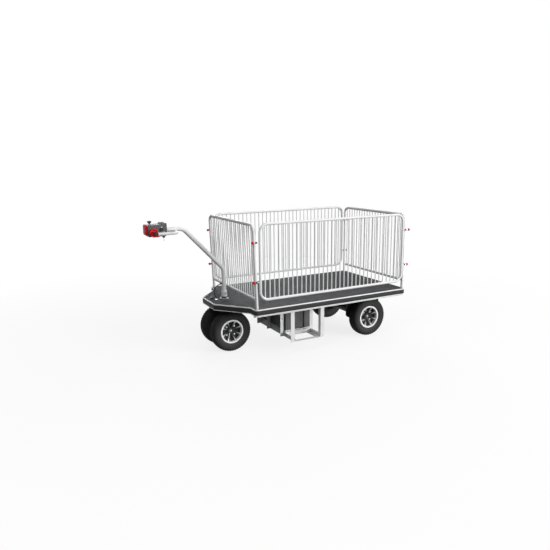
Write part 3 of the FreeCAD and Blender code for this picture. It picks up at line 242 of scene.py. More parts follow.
def finish_material(name, colour, roughness, metallic=0.0, specular=0.5, coat=0.0, variation=0.12,
                    mottle=14.0, rough_spread=0.08, grain=(900.0, 0.08), grain_kind="noise",
                    wear=None, dust=0.0, hub=None):
    """Procedural finish: mottled colour and roughness, fine relief, worn edges and dust on top.

    grain is the scale and strength of the relief, and wear is the colour, width and strength of the
    worn edges. hub is a wheel's centre, the colour of its middle, and the radii between which that
    colour fades out: two-tone paint on the rims, and painted light on the tyres, whose sidewalls are
    painted lighter near the bead.
    """
    material = bpy.data.materials.new(name)
    tree = Tree(material)
    place = tree.add("ShaderNodeTexCoord").outputs["Object"]

    def noise(scale, detail=4.0, rough=0.55):
        inputs = {"Vector": place, "Scale": scale, "Detail": detail, "Roughness": rough}
        return tree.add("ShaderNodeTexNoise", inputs).outputs["Fac"]

    def normal():
        return tree.add("ShaderNodeNewGeometry").outputs["Normal"]

    dark = tuple(part * (1 - variation) for part in colour)
    light = tuple(min(1, part * (1 + variation)) for part in colour)
    tint = tree.mixed(tree.remap(noise(mottle), *MOTTLE_SPAN, 0, 1), dark, light)
    # Fade from a wheel's centre: two-tone paint on a rim; on a tyre, painted light that makes the sidewall lighter
    # near the bead.
    if hub:
        centre, middle, near, far = hub
        offset = tree.vector("SUBTRACT", place, centre).outputs[0]
        flat = tree.vector("MULTIPLY", offset, UPRIGHT_PLANE).outputs[0]
        radius = tree.vector("LENGTH", flat).outputs["Value"]
        tint = tree.mixed(tree.remap(radius, near, far, 0, 1), middle, tint)
    if wear:
        worn, width, strength = wear
        bevel = tree.add("ShaderNodeBevel", {"Radius": width}).outputs[0]
        bend = tree.vector("DOT_PRODUCT", bevel, normal()).outputs["Value"]
        edge = tree.remap(bend, *WEAR_BEND, 0, 1)
        broken = tree.remap(noise(60, 6), *WEAR_SPAN, 0, strength)
        tint = tree.mixed(tree.calc("MULTIPLY", edge, broken), tint, worn)
    if dust:
        upward = tree.add("ShaderNodeSeparateXYZ", {0: normal()}).outputs["Z"]
        facing = tree.remap(upward, *DUST_FACING, 0, dust)
        patch = tree.remap(noise(9, 5, 0.6), *DUST_SPAN, 0.2, 1)
        tint = tree.mixed(tree.calc("MULTIPLY", facing, patch), tint, DUST_COLOUR)
    low = max(0.03, roughness - rough_spread)
    rough = tree.remap(noise(mottle * 2.3, 5), *MOTTLE_SPAN, low, roughness + rough_spread)

    scale, relief_strength = grain
    if grain_kind == "cells":
        cells = tree.add("ShaderNodeTexVoronoi", {"Vector": place, "Scale": scale})
        relief = cells.outputs["Distance"]
    elif grain_kind == "brushed":
        stretch = tree.add("ShaderNodeMapping", {"Vector": place, "Scale": BRUSH_STRETCH})
        brushed = tree.add("ShaderNodeTexNoise", {"Vector": stretch.outputs[0], "Scale": scale})
        relief = brushed.outputs["Fac"]
    else:
        relief = noise(scale, 3)
    bump = tree.add("ShaderNodeBump", {
        "Strength": relief_strength, "Distance": RELIEF_DEPTH, "Height": relief,
    })
    shader = tree.add("ShaderNodeBsdfPrincipled", {
        "Base Color": tint, "Roughness": rough, "Normal": bump.outputs[0], "Metallic": metallic,
        "Specular IOR Level": specular, "Coat Weight": coat, "Coat Roughness": COAT_ROUGHNESS,
    })
    tree.add("ShaderNodeOutputMaterial", {0: shader.outputs[0]})
    return material


GREY_PRIMER = (0.36, 0.35, 0.34)
FINISHES = {
    "deck_steel": dict(colour=(0.10, 0.10, 0.105), roughness=0.55, dust=0.1),
    "deck_rubber": dict(
        colour=(0.057, 0.059, 0.063), roughness=0.62, specular=0.15, variation=0.10, mottle=6,
        grain=(1500, 0.25), dust=0.04,
    ),
    "bumper_rubber": dict(
        colour=(0.042, 0.042, 0.043), roughness=0.45, specular=0.07, grain=(700, 0.1),
    ),
    "trim_plastic": dict(
        colour=(0.80, 0.795, 0.79), roughness=0.36, variation=0.05, grain=(500, 0.05),
    ),
    "white_paint": dict(
        colour=(0.74, 0.74, 0.745), roughness=0.36, specular=0.2, variation=0.035, mottle=9,
        rough_spread=0.06, grain=(650, 0.16), wear=(GREY_PRIMER, 0.0012, 0.35),
    ),
    "black_steel": dict(
        colour=(0.026, 0.026, 0.027), roughness=0.45, specular=0.15, grain=(600, 0.2), dust=0.06,
        wear=((0.18, 0.17, 0.16), 0.0012, 0.4),
    ),
    "cast_alloy": dict(
        colour=(0.16, 0.16, 0.165), roughness=0.55, metallic=0.3, grain=(420, 0.6),
        grain_kind="cells", dust=0.1,
    ),
    "red_plastic": dict(
        colour=(0.76, 0.018, 0.026), roughness=0.38, specular=0.08, variation=0.08,
        grain=(500, 0.04),
    ),
    "black_plastic": dict(
        colour=(0.015, 0.015, 0.016), roughness=0.40, specular=0.3, grain=(1600, 0.16),
        grain_kind="cells",
    ),
    "head_plastic": dict(
        colour=(0.082, 0.079, 0.080), roughness=0.46, specular=0.3, grain=(1400, 0.3),
        grain_kind="cells", wear=((0.16, 0.16, 0.16), 0.0008, 0.4),
    ),
    "battery_case": dict(
        colour=(0.135, 0.133, 0.135), roughness=0.50, specular=0.08, variation=0.10,
        grain=(900, 0.12), dust=0.10, wear=((0.2, 0.2, 0.2), 0.001, 0.5),
    ),
    "bright_steel": dict(
        colour=(0.60, 0.60, 0.61), roughness=0.28, metallic=1.0, variation=0.08, mottle=40,
        grain=(1200, 0.2), grain_kind="brushed",
    ),
    "silver_paint": dict(
        colour=(0.66, 0.67, 0.685), roughness=0.32, specular=0.15, variation=0.04,
        grain=(800, 0.08),
    ),
    "rim_paint": dict(
        colour=(0.94, 0.945, 0.955), roughness=0.30, metallic=0.08, coat=0.2, variation=0.05,
        grain=(900, 0.08), wear=((0.35, 0.35, 0.36), 0.0008, 0.3),
    ),
    "zinc_steel": dict(
        colour=(0.20, 0.195, 0.19), roughness=0.42, metallic=0.5, specular=0.3, variation=0.10,
        mottle=40, grain=(1200, 0.2),
    ),
    "lead_rubber": dict(
        colour=(0.012, 0.012, 0.013), roughness=0.50, specular=0.25, grain=(900, 0.2),
    ),
    "tyre": dict(
        colour=(0.027, 0.027, 0.028), roughness=0.66, specular=0.07, variation=0.2, mottle=22,
        grain=(1300, 0.35), dust=0.03,
    ),
    "cap_steel": dict(
        colour=(0.34, 0.335, 0.33), roughness=0.26, metallic=0.7, specular=0.4, variation=0.10,
        mottle=40, grain=(1200, 0.15),
    ),
}
MATERIALS = {name: finish_material(name, **finish) for name, finish in FINISHES.items()}
RIM_MIDDLE = ((0.012, 0.012, 0.013), 0.040, 0.082)
# Painted light on the tyres: the sidewall near the bead is painted lighter, as if its bulge were lit. The entries
# are the colour, then the radii over which it fades out.
TYRE_PAINTED_LIGHT = ((0.055, 0.054, 0.055), 0.098, 0.142)


def dress_frame():
    """Gives each CAD node its slot's finish, but rims, hub caps and the steering disc their own."""
    for row in frame["record"]["subparts"]:
        node = frame["nodes"][row["node"]]
        node.data.materials.clear()
        node.data.materials.append(MATERIALS[row["material_slot"]])
    for node, joint in (("front_rims", "front_wheels_spin"), ("rear_left_rim", "rear_left_spin"),
                        ("rear_right_rim", "rear_right_spin")):
        hub = (JOINTS[joint]["pos_m"], *RIM_MIDDLE)
        material = finish_material(node + "_paint", **FINISHES["rim_paint"], hub=hub)
        frame["nodes"][node].data.materials[0] = material
    frame["nodes"]["steering_disc"].data.materials[0] = MATERIALS["zinc_steel"]
    for node in ("front_hub_caps", "rear_left_hub_cap", "rear_right_hub_cap"):
        frame["nodes"][node].data.materials[0] = MATERIALS["cap_steel"]


# Mesh helpers; lengths are in millimetres unless they are points

MERGE_DISTANCE = 1e-6
THIN_FACE = 1e-7
TIP_RADIUS = 1e-6
WASHER_HEIGHT = 1.5
BEAD_SIDES = 8


def piece(name, bm, body, slot, smooth):
    """Finished piece on a body and in a slot, sharp at edges of more than smooth degrees."""
    bmesh.ops.remove_doubles(bm, verts=bm.verts, dist=MERGE_DISTANCE)
    bmesh.ops.dissolve_degenerate(bm, edges=bm.edges, dist=THIN_FACE)
    bmesh.ops.recalc_face_normals(bm, faces=bm.faces)
    mesh = bpy.data.meshes.new(name)
    bm.to_mesh(mesh)
    bm.free()
    mesh.materials.append(MATERIALS[slot])
    mesh.polygons.foreach_set("use_smooth", [True] * len(mesh.polygons))
    mesh.set_sharp_from_angle(angle=math.radians(smooth))
    obj = bpy.data.objects.new(name, mesh)
    bpy.context.scene.collection.objects.link(obj)
    if body:
        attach(obj, body)
    return obj


def basis(axis):
    """Two directions square to an axis; the first is level where it can be."""
    axis = Vector(axis).normalized()
    across = UP.cross(axis) if abs(axis.z) < 0.9 else AHEAD - axis * axis.x
    across.normalize()
    return across, axis.cross(across)


def direction(first, second, angle):
    """Direction at an angle from the first of two, towards the second."""
    return first * math.cos(angle) + second * math.sin(angle)


def ring_round(bm, place, first, second, radius, count):
    """Ring of vertices in the plane of two directions, its radius in metres."""
    spokes = [direction(first, second, TAU * i / count) for i in range(count)]
    return [bm.verts.new(place + spoke * radius) for spoke in spokes]


def ring_of(bm, centre, axis, radius, count, phase=0.0):
    """Ring of vertices round an axis, its radius in metres."""
    first, second = basis(axis)
    ring = []
    for i in range(count):
        angle = TAU * i / count + phase
        spoke = first * (radius * math.cos(angle)) + second * (radius * math.sin(angle))
        ring.append(bm.verts.new(centre + spoke))
    return ring


def bridge(bm, one, other):
    """Band of faces between two closed rings of the same count."""
    count = len(one)
    for i in range(count):
        j = (i + 1) % count
        bm.faces.new((one[i], one[j], other[j], other[i]))


def skin(bm, rings, closed=False):
    """Faces along a row of rings, with both ends capped or the last ring joined to the first."""
    for one, other in zip(rings, rings[1:] + rings[:1] if closed else rings[1:]):
        bridge(bm, one, other)
    if not closed:
        bm.faces.new(rings[0])
        bm.faces.new(rings[-1])


def turned_skin(bm, rings):
    """Faces along a row of rings, any of which may be a single vertex."""
    for one, other in zip(rings, rings[1:]):
        if isinstance(one, list) and isinstance(other, list):
            bridge(bm, one, other)
        elif isinstance(one, list) or isinstance(other, list):
            loop, tip = (one, other) if isinstance(one, list) else (other, one)
            for i, vert in enumerate(loop):
                bm.faces.new((vert, loop[(i + 1) % len(loop)], tip))


def lathe(bm, profile, centre, axis, count=48, closed=False):
    """Turned form from (radius, along) points; a zero radius closes an end."""
    axis = Vector(axis).normalized()
    centre = Vector(centre)
    rings = []
    for radius, along in profile:
        place = centre + axis * (along * MM)
        if radius < TIP_RADIUS:
            rings.append(bm.verts.new(place))
        else:
            rings.append(ring_of(bm, place, axis, radius * MM, count))
    turned_skin(bm, rings + rings[:1] if closed else rings)


def fluted(bm, rows, centre, axis, flutes, depth, count=96):
    """Turned form from (radius, along) rows, fluted at the rows marked True."""
    axis = Vector(axis).normalized()
    first, second = basis(axis)
    rings = []
    for radius, along, *mark in rows:
        place = Vector(centre) + axis * (along * MM)
        if radius < TIP_RADIUS:
            rings.append(bm.verts.new(place))
            continue
        ring = []
        for i in range(count):
            angle = TAU * i / count
            cut = depth * (0.5 - 0.5 * math.cos(flutes * angle)) ** 2 if mark else 0.0
            spoke = direction(first, second, angle) * ((radius - cut) * MM)
            ring.append(bm.verts.new(place + spoke))
        rings.append(ring)
    turned_skin(bm, rings)


def block(bm, centre, size, turn=None, chamfer=0.0):
    """Box with chamfered edges."""
    made = bmesh.ops.create_cube(bm, size=1.0)
    scale = Matrix.Diagonal((size[0] * MM, size[1] * MM, size[2] * MM, 1))
    place = Matrix.Translation(centre) @ (turn.to_4x4() if turn else Matrix.Identity(4))
    bmesh.ops.transform(bm, matrix=place @ scale, verts=made["verts"])
    if chamfer:
        edges = list({edge for vert in made["verts"] for edge in vert.link_edges})
        width = chamfer * MM
        bmesh.ops.bevel(bm, geom=edges, offset=width, segments=2, profile=0.7, affect="EDGES")


def hex_head(bm, centre, axis, across, height, shank=0.0, washer=0.0):
    """Hexagon head or nut with a chamfered top, an optional washer below and a stud end above."""
    axis = Vector(axis).normalized()
    centre = Vector(centre)
    if washer:
        rim = washer - 0.4
        outline = [
            (0, 0), (rim, 0), (washer, 0.3), (washer, 1.2),
            (rim, WASHER_HEIGHT), (0, WASHER_HEIGHT),
        ]
        lathe(bm, outline, centre, axis, 24)
        centre = centre + axis * (WASHER_HEIGHT * MM)
    corner = across / math.sqrt(3)
    shoulder = height - 0.12 * across
    rings = []
    for radius, along in ((corner, 0), (corner, shoulder), (corner * 0.84, height)):
        rings.append(ring_of(bm, centre + axis * (along * MM), axis, radius * MM, 6, math.pi / 6))
    skin(bm, rings)
    if shank:
        foot, tip = height - 0.2, height + 3.4
        end = [(0, foot), (shank, foot), (shank, tip - 0.8), (shank - 0.7, tip), (0, tip)]
        lathe(bm, end, centre, axis, 16)


def socket_screw(bm, centre, axis, radius, height):
    """Round screw head with a socket in its end."""
    deep = height * 0.45
    profile = [
        (0, deep), (radius * 0.48, deep), (radius * 0.55, height), (radius * 0.82, height),
        (radius, height * 0.78), (radius, 0), (0, 0),
    ]
    lathe(bm, profile, centre, axis, 20)


def swept(bm, points, radius, count):
    """Round tube along points, with rings that don't twist."""
    last = len(points) - 1
    tangents = []
    for i in range(last + 1):
        tangents.append((points[min(i + 1, last)] - points[max(i - 1, 0)]).normalized())
    across = basis(tangents[0])[0]
    rings = []
    for point, tangent in zip(points, tangents):
        across = (across - tangent * across.dot(tangent)).normalized()
        rings.append(ring_round(bm, point, across, tangent.cross(across), radius * MM, count))
    skin(bm, rings)


def crown_weld(bm, crown, bar_axis, tube_axis, bar_radius, tube_radius, count=14):
    """Fillet weld where a bar lands on the crown of a tube that runs across it."""
    bar_axis = Vector(bar_axis).normalized()
    tube_axis = Vector(tube_axis).normalized()
    side = bar_axis.cross(tube_axis).normalized()
    rings = []
    for spread, rise in ((2.3, -0.3), (1.7, 0.45), (0.8, 1.25), (0.05, 2.1)):
        ring = []
        for i in range(count):
            angle = TAU * i / count
            ripple = 1 + 0.10 * math.sin(5 * angle + crown[0] * 4000)
            reach = bar_radius + spread * ripple
            along = reach * math.cos(angle)
            across = reach * math.sin(angle)
            drop = tube_radius - math.sqrt(max(tube_radius ** 2 - across ** 2, 0))
            place = crown + (tube_axis * along + side * across + bar_axis * (rise - drop)) * MM
            ring.append(bm.verts.new(place))
        rings.append(ring)
    skin(bm, rings)


def bead_along(bm, points, radius, closed=False):
    """Weld bead with ripples along points."""
    rings = []
    count = len(points)
    for i, point in enumerate(points):
        before = points[i - 1] if i or closed else point
        after = points[(i + 1) % count] if i < count - 1 or closed else point
        swell = radius * MM * (0.88 + 0.24 * (i % 2))
        rings.append(ring_round(bm, point, *basis(after - before), swell, BEAD_SIDES))
    skin(bm, rings, closed)


def line_bead(bm, start, end, radius):
    """Straight weld bead between two points."""
    start = Vector(start)
    run = Vector(end) - start
    steps = max(4, int(run.length / (1.6 * MM)))
    bead_along(bm, [start + run * (i / steps) for i in range(steps + 1)], radius)


def ring_bead(bm, centre, axis, ring_radius, radius):
    """Weld bead round a tube."""
    first, second = basis(axis)
    steps = 2 * int(ring_radius * 2)
    spokes = [direction(first, second, TAU * i / steps) for i in range(steps)]
    points = [Vector(centre) + spoke * (ring_radius * MM) for spoke in spokes]
    bead_along(bm, points, radius, closed=True)


# Where the deck's edge and the cage are; the cage's radii are in millimetres

BUMPER_LOW, BUMPER_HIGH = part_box("bumper")
REAR_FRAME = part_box("rear_end_frame")
DECK_FRONT = STEER.x - 55 * MM
NOSE_ROOT = 335.5 * MM
NOSE_TIP = 118.5 * MM
POST_RADIUS = 10.5
TUBE_RADIUS = 9.5
BAR_RADIUS = 4.0
POST_SPREAD = REAR_FRAME[1].y - POST_RADIUS * MM
REAR_POST_X = (REAR_FRAME[0].x + REAR_FRAME[1].x) / 2
FRONT_POST_X = DECK_FRONT - 24.5 * MM
FRAME_TOP = REAR_FRAME[1].z - POST_RADIUS * MM
FRAME_RAIL = DECK_TOP + 68 * MM
FRONT_LEAN = 20.7 / 588
SIDE_BARS = 33
END_BARS = 21


# Deck edge and mat

EDGE_FOOT = -46.6
BAND_LOW = EDGE_FOOT + 5.0
BAND_HIGH = -9.0
BAND_DEPTH = 3.2
BAND_BULGE = 2.2
BAND_GROOVE = 0.55
EDGE_DEPTH = 6
BEAD_DEPTH = 3.9
NOSE_CORNER = 22
SIDE_CORNER = 25
CORNER_STEPS = 10
MAT_PITCH = 5.0 * MM
MAT_GROOVE = 1.1 * MM
MAT_SOFTENING = 0.15 * MM
MAT_EDGE = 0.05 * MM
TILLER_HOLE = 20.0
POST_HOLE = 11.5
OUTSIDE = 3


def edge_samples():
    """Points round the deck's edge with their outward directions, corners rounded."""
    left = [
        (BUMPER_HIGH.x, NOSE_TIP, NOSE_CORNER), (DECK_FRONT, NOSE_ROOT, NOSE_CORNER),
        (DECK_FRONT, BUMPER_HIGH.y, SIDE_CORNER), (BUMPER_LOW.x, BUMPER_HIGH.y, SIDE_CORNER),
    ]
    corners = left + [(x, -y, radius) for x, y, radius in reversed(left)]
    samples = []
    for i, (x, y, radius) in enumerate(corners):
        here = Vector((x, y))
        back = (Vector(corners[i - 1][:2]) - here).normalized()
        ahead = (Vector(corners[(i + 1) % len(corners)][:2]) - here).normalized()
        half = back.angle(ahead) / 2
        size = radius * MM
        centre = here + (back + ahead).normalized() * (size / math.sin(half))
        start = here + back * (size / math.tan(half)) - centre
        end = here + ahead * (size / math.tan(half)) - centre
        turn = math.atan2(start.x * end.y - start.y * end.x, start.dot(end))
        first = math.atan2(start.y, start.x)
        bulges = math.copysign(1, turn)
        for k in range(CORNER_STEPS + 1):
            angle = first + turn * k / CORNER_STEPS
            out = Vector((math.cos(angle), math.sin(angle)))
            samples.append((centre + out * size, out * bulges))
    return samples


def edge_sweep(bm, profile):
    """Closed strip round the deck from (inset, height) points, the height from the deck's top."""
    rows = []
    for point, out in edge_samples():
        row = []
        for inset, height in profile:
            place = point - out * (inset * MM)
            row.append(bm.verts.new((place.x, place.y, DECK_TOP + height * MM)))
        rows.append(row)
    skin(bm, rows, closed=True)


def make_deck_edge():
    """Bumper band with a bulge and two grooves, between its two round beads."""
    middle = (BAND_LOW + BAND_HIGH) / 2
    half = (BAND_HIGH - BAND_LOW) / 2
    band = [(EDGE_DEPTH, BAND_LOW), (BAND_DEPTH, BAND_LOW)]
    for k in range(17):
        t = -1 + k / 8
        fall = 0.1 + BAND_BULGE * abs(t) ** 3.2
        groove = BAND_GROOVE * math.exp(-((abs(t) - 0.62) / 0.07) ** 2)
        band.append((fall + groove, middle + t * (half - 0.4)))
    band += [(BAND_DEPTH, BAND_HIGH), (EDGE_DEPTH, BAND_HIGH)]
    bm = bmesh.new()
    edge_sweep(bm, band)
    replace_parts(piece("bumper_band", bm, "chassis", "bumper_rubber", smooth=50), "bumper")

    bm = bmesh.new()
    for start, end in ((EDGE_FOOT, BAND_LOW), (BAND_HIGH, 0.0)):
        half = (end - start) / 2
        depth = min(BEAD_DEPTH, half * 1.3)
        profile = [(EDGE_DEPTH, start)]
        for k in range(13):
            angle = -math.pi / 2 + math.pi * k / 12
            height = start + half + half * math.sin(angle)
            profile.append((depth - depth * math.cos(angle), height))
        profile.append((EDGE_DEPTH, end))
        edge_sweep(bm, profile)
    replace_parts(piece("bumper_beads", bm, "chassis", "trim_plastic", smooth=50), "bumper_trims")


def rib_lines(low, high):
    """(y, z) lines of the mat's top from its right edge to its left, over the ribs."""
    ribs = int((high.y - low.y) / MAT_PITCH)
    margin = ((high.y - low.y) - ribs * MAT_PITCH) / 2 + MAT_EDGE
    groove = high.z - MAT_GROOVE
    soft = high.z - MAT_SOFTENING
    lines = [(low.y + MAT_EDGE, groove)]
    for i in range(ribs):
        y = low.y + margin + i * MAT_PITCH
        rib = (
            (0.16, groove), (0.24, soft), (0.32, high.z),
            (0.68, high.z), (0.76, soft), (0.84, groove),
        )
        lines += [(y + MAT_PITCH * share, z) for share, z in rib]
    lines.append((high.y - MAT_EDGE, groove))
    return lines


def make_mat():
    """Rubber mat with ribs along the cart, cut to the deck's outline and round every leg."""
    low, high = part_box("deck_mat")
    source = frame["nodes"]["deck_mat"].data
    corners = [vertex.co.copy() for vertex in source.vertices]
    tree = BVHTree.FromPolygons(corners, [tuple(face.vertices) for face in source.polygons])
    level = (low.z + high.z) / 2
    holes = [
        (REAR_POST_X, POST_SPREAD, POST_HOLE), (FRONT_POST_X, POST_SPREAD, POST_HOLE),
        (STEER.x, 0.0, TILLER_HOLE),
    ]

    def breaks(y):
        """Where the mat starts and stops along one line; a hole the line misses has no width."""
        start = tree.ray_cast(Vector((-OUTSIDE, y, level)), AHEAD)[0]
        end = tree.ray_cast(Vector((OUTSIDE, y, level)), -AHEAD)[0]
        stops = [start.x]
        for x, centre, radius in holes:
            gap = math.sqrt(max((radius * MM) ** 2 - (abs(y) - centre) ** 2, 0))
            opens_at_edge = x - gap < start.x
            stops += [start.x, start.x] if opens_at_edge else [x - gap, x + gap]
        stops.append(end.x)
        return [min(max(stop, start.x), end.x) for stop in stops]

    bm = bmesh.new()
    rows = []
    for y, z in rib_lines(low, high):
        stops = breaks(y)
        top = [bm.verts.new((x, y, z)) for x in stops]
        bottom = [bm.verts.new((x, y, low.z)) for x in stops]
        rows.append((stops, top, bottom))

    def quad(*corners):
        if len({tuple(round(c, 7) for c in corner.co) for corner in corners}) > 2:
            bm.faces.new(corners)

    for (stops_a, top_a, low_a), (stops_b, top_b, low_b) in zip(rows, rows[1:]):
        last = len(stops_a) - 1
        for k in range(0, last, 2):
            quad(top_a[k], top_a[k + 1], top_b[k + 1], top_b[k])
            quad(low_a[k], low_b[k], low_b[k + 1], low_a[k + 1])
        for k in range(last + 1):
            other = k + 1 if k % 2 else k - 1
            inside = 0 < k < last
            if inside and stops_a[other] == stops_a[k] and stops_b[other] == stops_b[k]:
                continue
            quad(top_a[k], top_b[k], low_b[k], low_a[k])
    for stops, top, bottom in (rows[0], rows[-1]):
        for k in range(0, len(stops) - 1, 2):
            quad(top[k], top[k + 1], bottom[k + 1], bottom[k])
    mat = piece("ribbed_mat", bm, "chassis", "deck_rubber", smooth=50)
    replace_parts(mat, "deck_mat")


# Cage details

def bar_places(first, last, count):
    """Places of evenly spaced bars between two uprights."""
    return [first + (last - first) * i / (count + 1) for i in range(1, count + 1)]


def make_panel_welds():
    """Welds of the side panels' bars."""
    for name in ("left", "right"):
        low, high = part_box(name + "_side_panel")
        y = (low.y + high.y) / 2
        inset = TUBE_RADIUS * MM
        bm = bmesh.new()
        for x in bar_places(low.x + inset, high.x - inset, SIDE_BARS):
            for z, way in ((low.z + 2 * inset, UP), (high.z - 2 * inset, -UP)):
                crown_weld(bm, Vector((x, y, z)), way, AHEAD, BAR_RADIUS, TUBE_RADIUS)
        piece(name + "_panel_welds", bm, name + "_panel", "white_paint", smooth=60)


def make_frame_welds():
    """Welds of the end frames' bars and rails."""
    for name, post_x, lean in (("front", FRONT_POST_X, FRONT_LEAN), ("rear", REAR_POST_X, 0.0)):
        up = Vector((lean, 0, 1)).normalized()
        bm = bmesh.new()

        def at(y, z):
            return Vector((post_x + lean * (z - DECK_TOP), y, z))

        for y in bar_places(-POST_SPREAD, POST_SPREAD, END_BARS):
            foot = at(y, FRAME_RAIL) + up * (TUBE_RADIUS * MM)
            crown_weld(bm, foot, up, LEFTWARD, BAR_RADIUS, TUBE_RADIUS)
            top = at(y, FRAME_TOP) - up * (POST_RADIUS * MM)
            crown_weld(bm, top, -up, LEFTWARD, BAR_RADIUS, POST_RADIUS)
        for side in SIDES:
            crown = at(side * (POST_SPREAD - POST_RADIUS * MM), FRAME_RAIL)
            crown_weld(bm, crown, LEFTWARD * -side, up, TUBE_RADIUS, POST_RADIUS, count=28)
        piece(name + "_frame_welds", bm, "chassis", "white_paint", smooth=60)


# Wheels: the tyre's outline from crown to bead as (radius, along), and tread blocks as
# (along, top radius, root radius) stations, with (start, sweep, skew) in tread steps

CARCASS = (
    (151.0, 0), (150.8, 8), (150.2, 16), (149.2, 24), (147.4, 31), (144.6, 36), (140.8, 39.6),
    (136, 42.0), (131.5, 43.2), (130.6, 43.9), (128.6, 44.1), (127.8, 43.5), (122, 43.5),
    (116, 42.9), (110, 41.7), (104.5, 39.9), (103.6, 40.3), (101.8, 39.8), (101.0, 38.4),
    (97.5, 36.4), (94.2, 34.6), (92.2, 32.6), (90.8, 30.6), (90.5, 30.1),
)
BEAD_SEAT = ((86.1, 30.1), (86.1, -30.1))
TREAD_PITCHES = 46
TREAD_STEP = TAU / TREAD_PITCHES
INNER_BLOCK = ((1.6, 154.0, 150), (7, 153.9, 150), (13.0, 153.5, 149.8))
MIDDLE_BLOCK = ((16.0, 153.3, 149.4), (21, 152.7, 149), (26.0, 151.9, 148))
OUTER_BLOCK = ((29.0, 151.2, 147), (34.0, 149.0, 144.5), (38.2, 145.2, 140.5), (41.2, 139.6, 136))
TREAD_ROWS = (
    (0.0, 0.70, 0.45, INNER_BLOCK), (0.62, 0.66, 0.35, MIDDLE_BLOCK),
    (1.1, 0.58, 0.10, OUTER_BLOCK),
)
NUT_CIRCLE = 43
VALVE_CIRCLE = 67
VALVE_STEM = (
    (0, 0), (5.2, 0), (5.2, 2), (3.9, 4), (3.6, 16), (3.0, 17), (3.9, 17.2), (3.9, 24), (3.2, 25),
    (0, 25),
)


def around(centre, radius, angle, along):
    """Point on a wheel from its centre, radius, angle from straight ahead, and place across."""
    return centre + mm(math.cos(angle) * radius, along, math.sin(angle) * radius)


def tread_block(bm, centre, outward, start, sweep, skew, stations):
    """One tread block over its stations across the tyre, angles in radians."""
    rows = []
    first = stations[0][0]
    width = stations[-1][0] - first
    for along, top, root in stations:
        shift = skew * (along - first) / width
        row = []
        for radius, draft in ((root, 0.0), (top, 0.10), (top, 0.90), (root, 1.0)):
            angle = start + shift + sweep * draft
            row.append(bm.verts.new(around(centre, radius, angle, outward * along)))
        rows.append(row)
    skin(bm, rows)


def tyre_mesh(bm, centre):
    """Pneumatic tyre with moulded sidewall rings and a block tread."""
    mirrored = [(radius, -along) for radius, along in reversed(CARCASS[1:])]
    lathe(bm, [*mirrored, *CARCASS, *BEAD_SEAT], centre, LEFTWARD, 96, closed=True)
    for outward in SIDES:
        lag = 0.0 if outward > 0 else TREAD_STEP / 2
        for i in range(TREAD_PITCHES):
            for shift, sweep, skew, stations in TREAD_ROWS:
                start = i * TREAD_STEP + lag + TREAD_STEP * shift
                turns = (start, TREAD_STEP * sweep, TREAD_STEP * skew)
                tread_block(bm, centre, outward, *turns, stations)


def wheel_places():
    """(name, body, [(centre, outward)]) of the front pair and of each rear wheel."""
    front = Vector(JOINTS["front_wheels_spin"]["pos_m"])
    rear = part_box("rear_left_tyre")
    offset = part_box("front_tyres")[1].y - (rear[1].y - rear[0].y) / 2
    pair = [(front + LEFTWARD * (side * offset), side) for side in SIDES]
    places = [("front", "front_wheels", pair)]
    for name, side in (("rear_left", 1), ("rear_right", -1)):
        low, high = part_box(name + "_tyre")
        places.append((name, name + "_wheel", [((low + high) / 2, side)]))
    return places


def make_wheel_details():
    """Treaded tyres, wheel nuts and valve stems."""
    for name, body, wheels in wheel_places():
        node = "front_tyres" if name == "front" else name + "_tyre"
        bm = bmesh.new()
        for centre, _ in wheels:
            tyre_mesh(bm, centre)
        tyre = piece(node + "_treaded", bm, body, "tyre", smooth=28)
        # The sidewall is painted lighter near the bead: painted light that stands for the bulge of the sidewall
        # catching the light.
        hub = (wheels[0][0], *TYRE_PAINTED_LIGHT)
        tyre.data.materials[0] = finish_material(node + "_sidewall_painted_light", **FINISHES["tyre"], hub=hub)
        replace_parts(tyre, node)

        bm = bmesh.new()
        for centre, outward in wheels:
            for k in range(4):
                seat = around(centre, NUT_CIRCLE, math.pi / 4 + k * math.pi / 2, outward * -4.4)
                hex_head(bm, seat, LEFTWARD * outward, 13, 6.5, shank=4.0, washer=7.6)
        piece(name + "_wheel_nuts", bm, body, "bright_steel", smooth=25)

        bm = bmesh.new()
        for centre, outward in wheels:
            foot = around(centre, VALVE_CIRCLE, 0.0, outward * 0.4)
            lathe(bm, VALVE_STEM, foot, LEFTWARD * outward - AHEAD * 0.35, 20)
        piece(name + "_valve_stems", bm, body, "black_plastic", smooth=40)


# Underframe, axle and battery bay details

BRACKET_THICKNESS = 5 * MM
BRACKET_BOLTS = (-130, -100, 100, 130)
AXLE_BEAM_RADIUS = 30.8
COVER_CIRCLE = 53
MOTOR_CIRCLE = 25
TERMINALS = (-14, 14)
FIN_STARTS = range(40, 108, 6)
TURNTABLE_LIFT = 193 * MM
TURNTABLE_CIRCLE = 40.8
FORK_FACE = 38.2
FORK_BOSS_RADIUS = 26.3
DISC_CIRCLE = 28
BATTERY_RIB_PITCH = 17 * MM
BATTERY_RIB_HEIGHT = 142
BATTERY_GROOVE = (49 * MM, 87 * MM)
WIRE_RADIUS = 1.6
WIRE_STEPS = 120
WIRE_HUMPS = (0.28, 0.66)
BAY_ANGLE = 31 * MM
BAY_FOOT_WELDS = (-124, 21, 212, 243)


def polar(radius, angle):
    """Offset in the upright plane along the cart."""
    return Vector((math.cos(angle), 0, math.sin(angle))) * (radius * MM)


def ring_angles(count):
    """Angles of bolts in a ring, the first half a step round."""
    return [TAU * (k + 0.5) / count for k in range(count)]


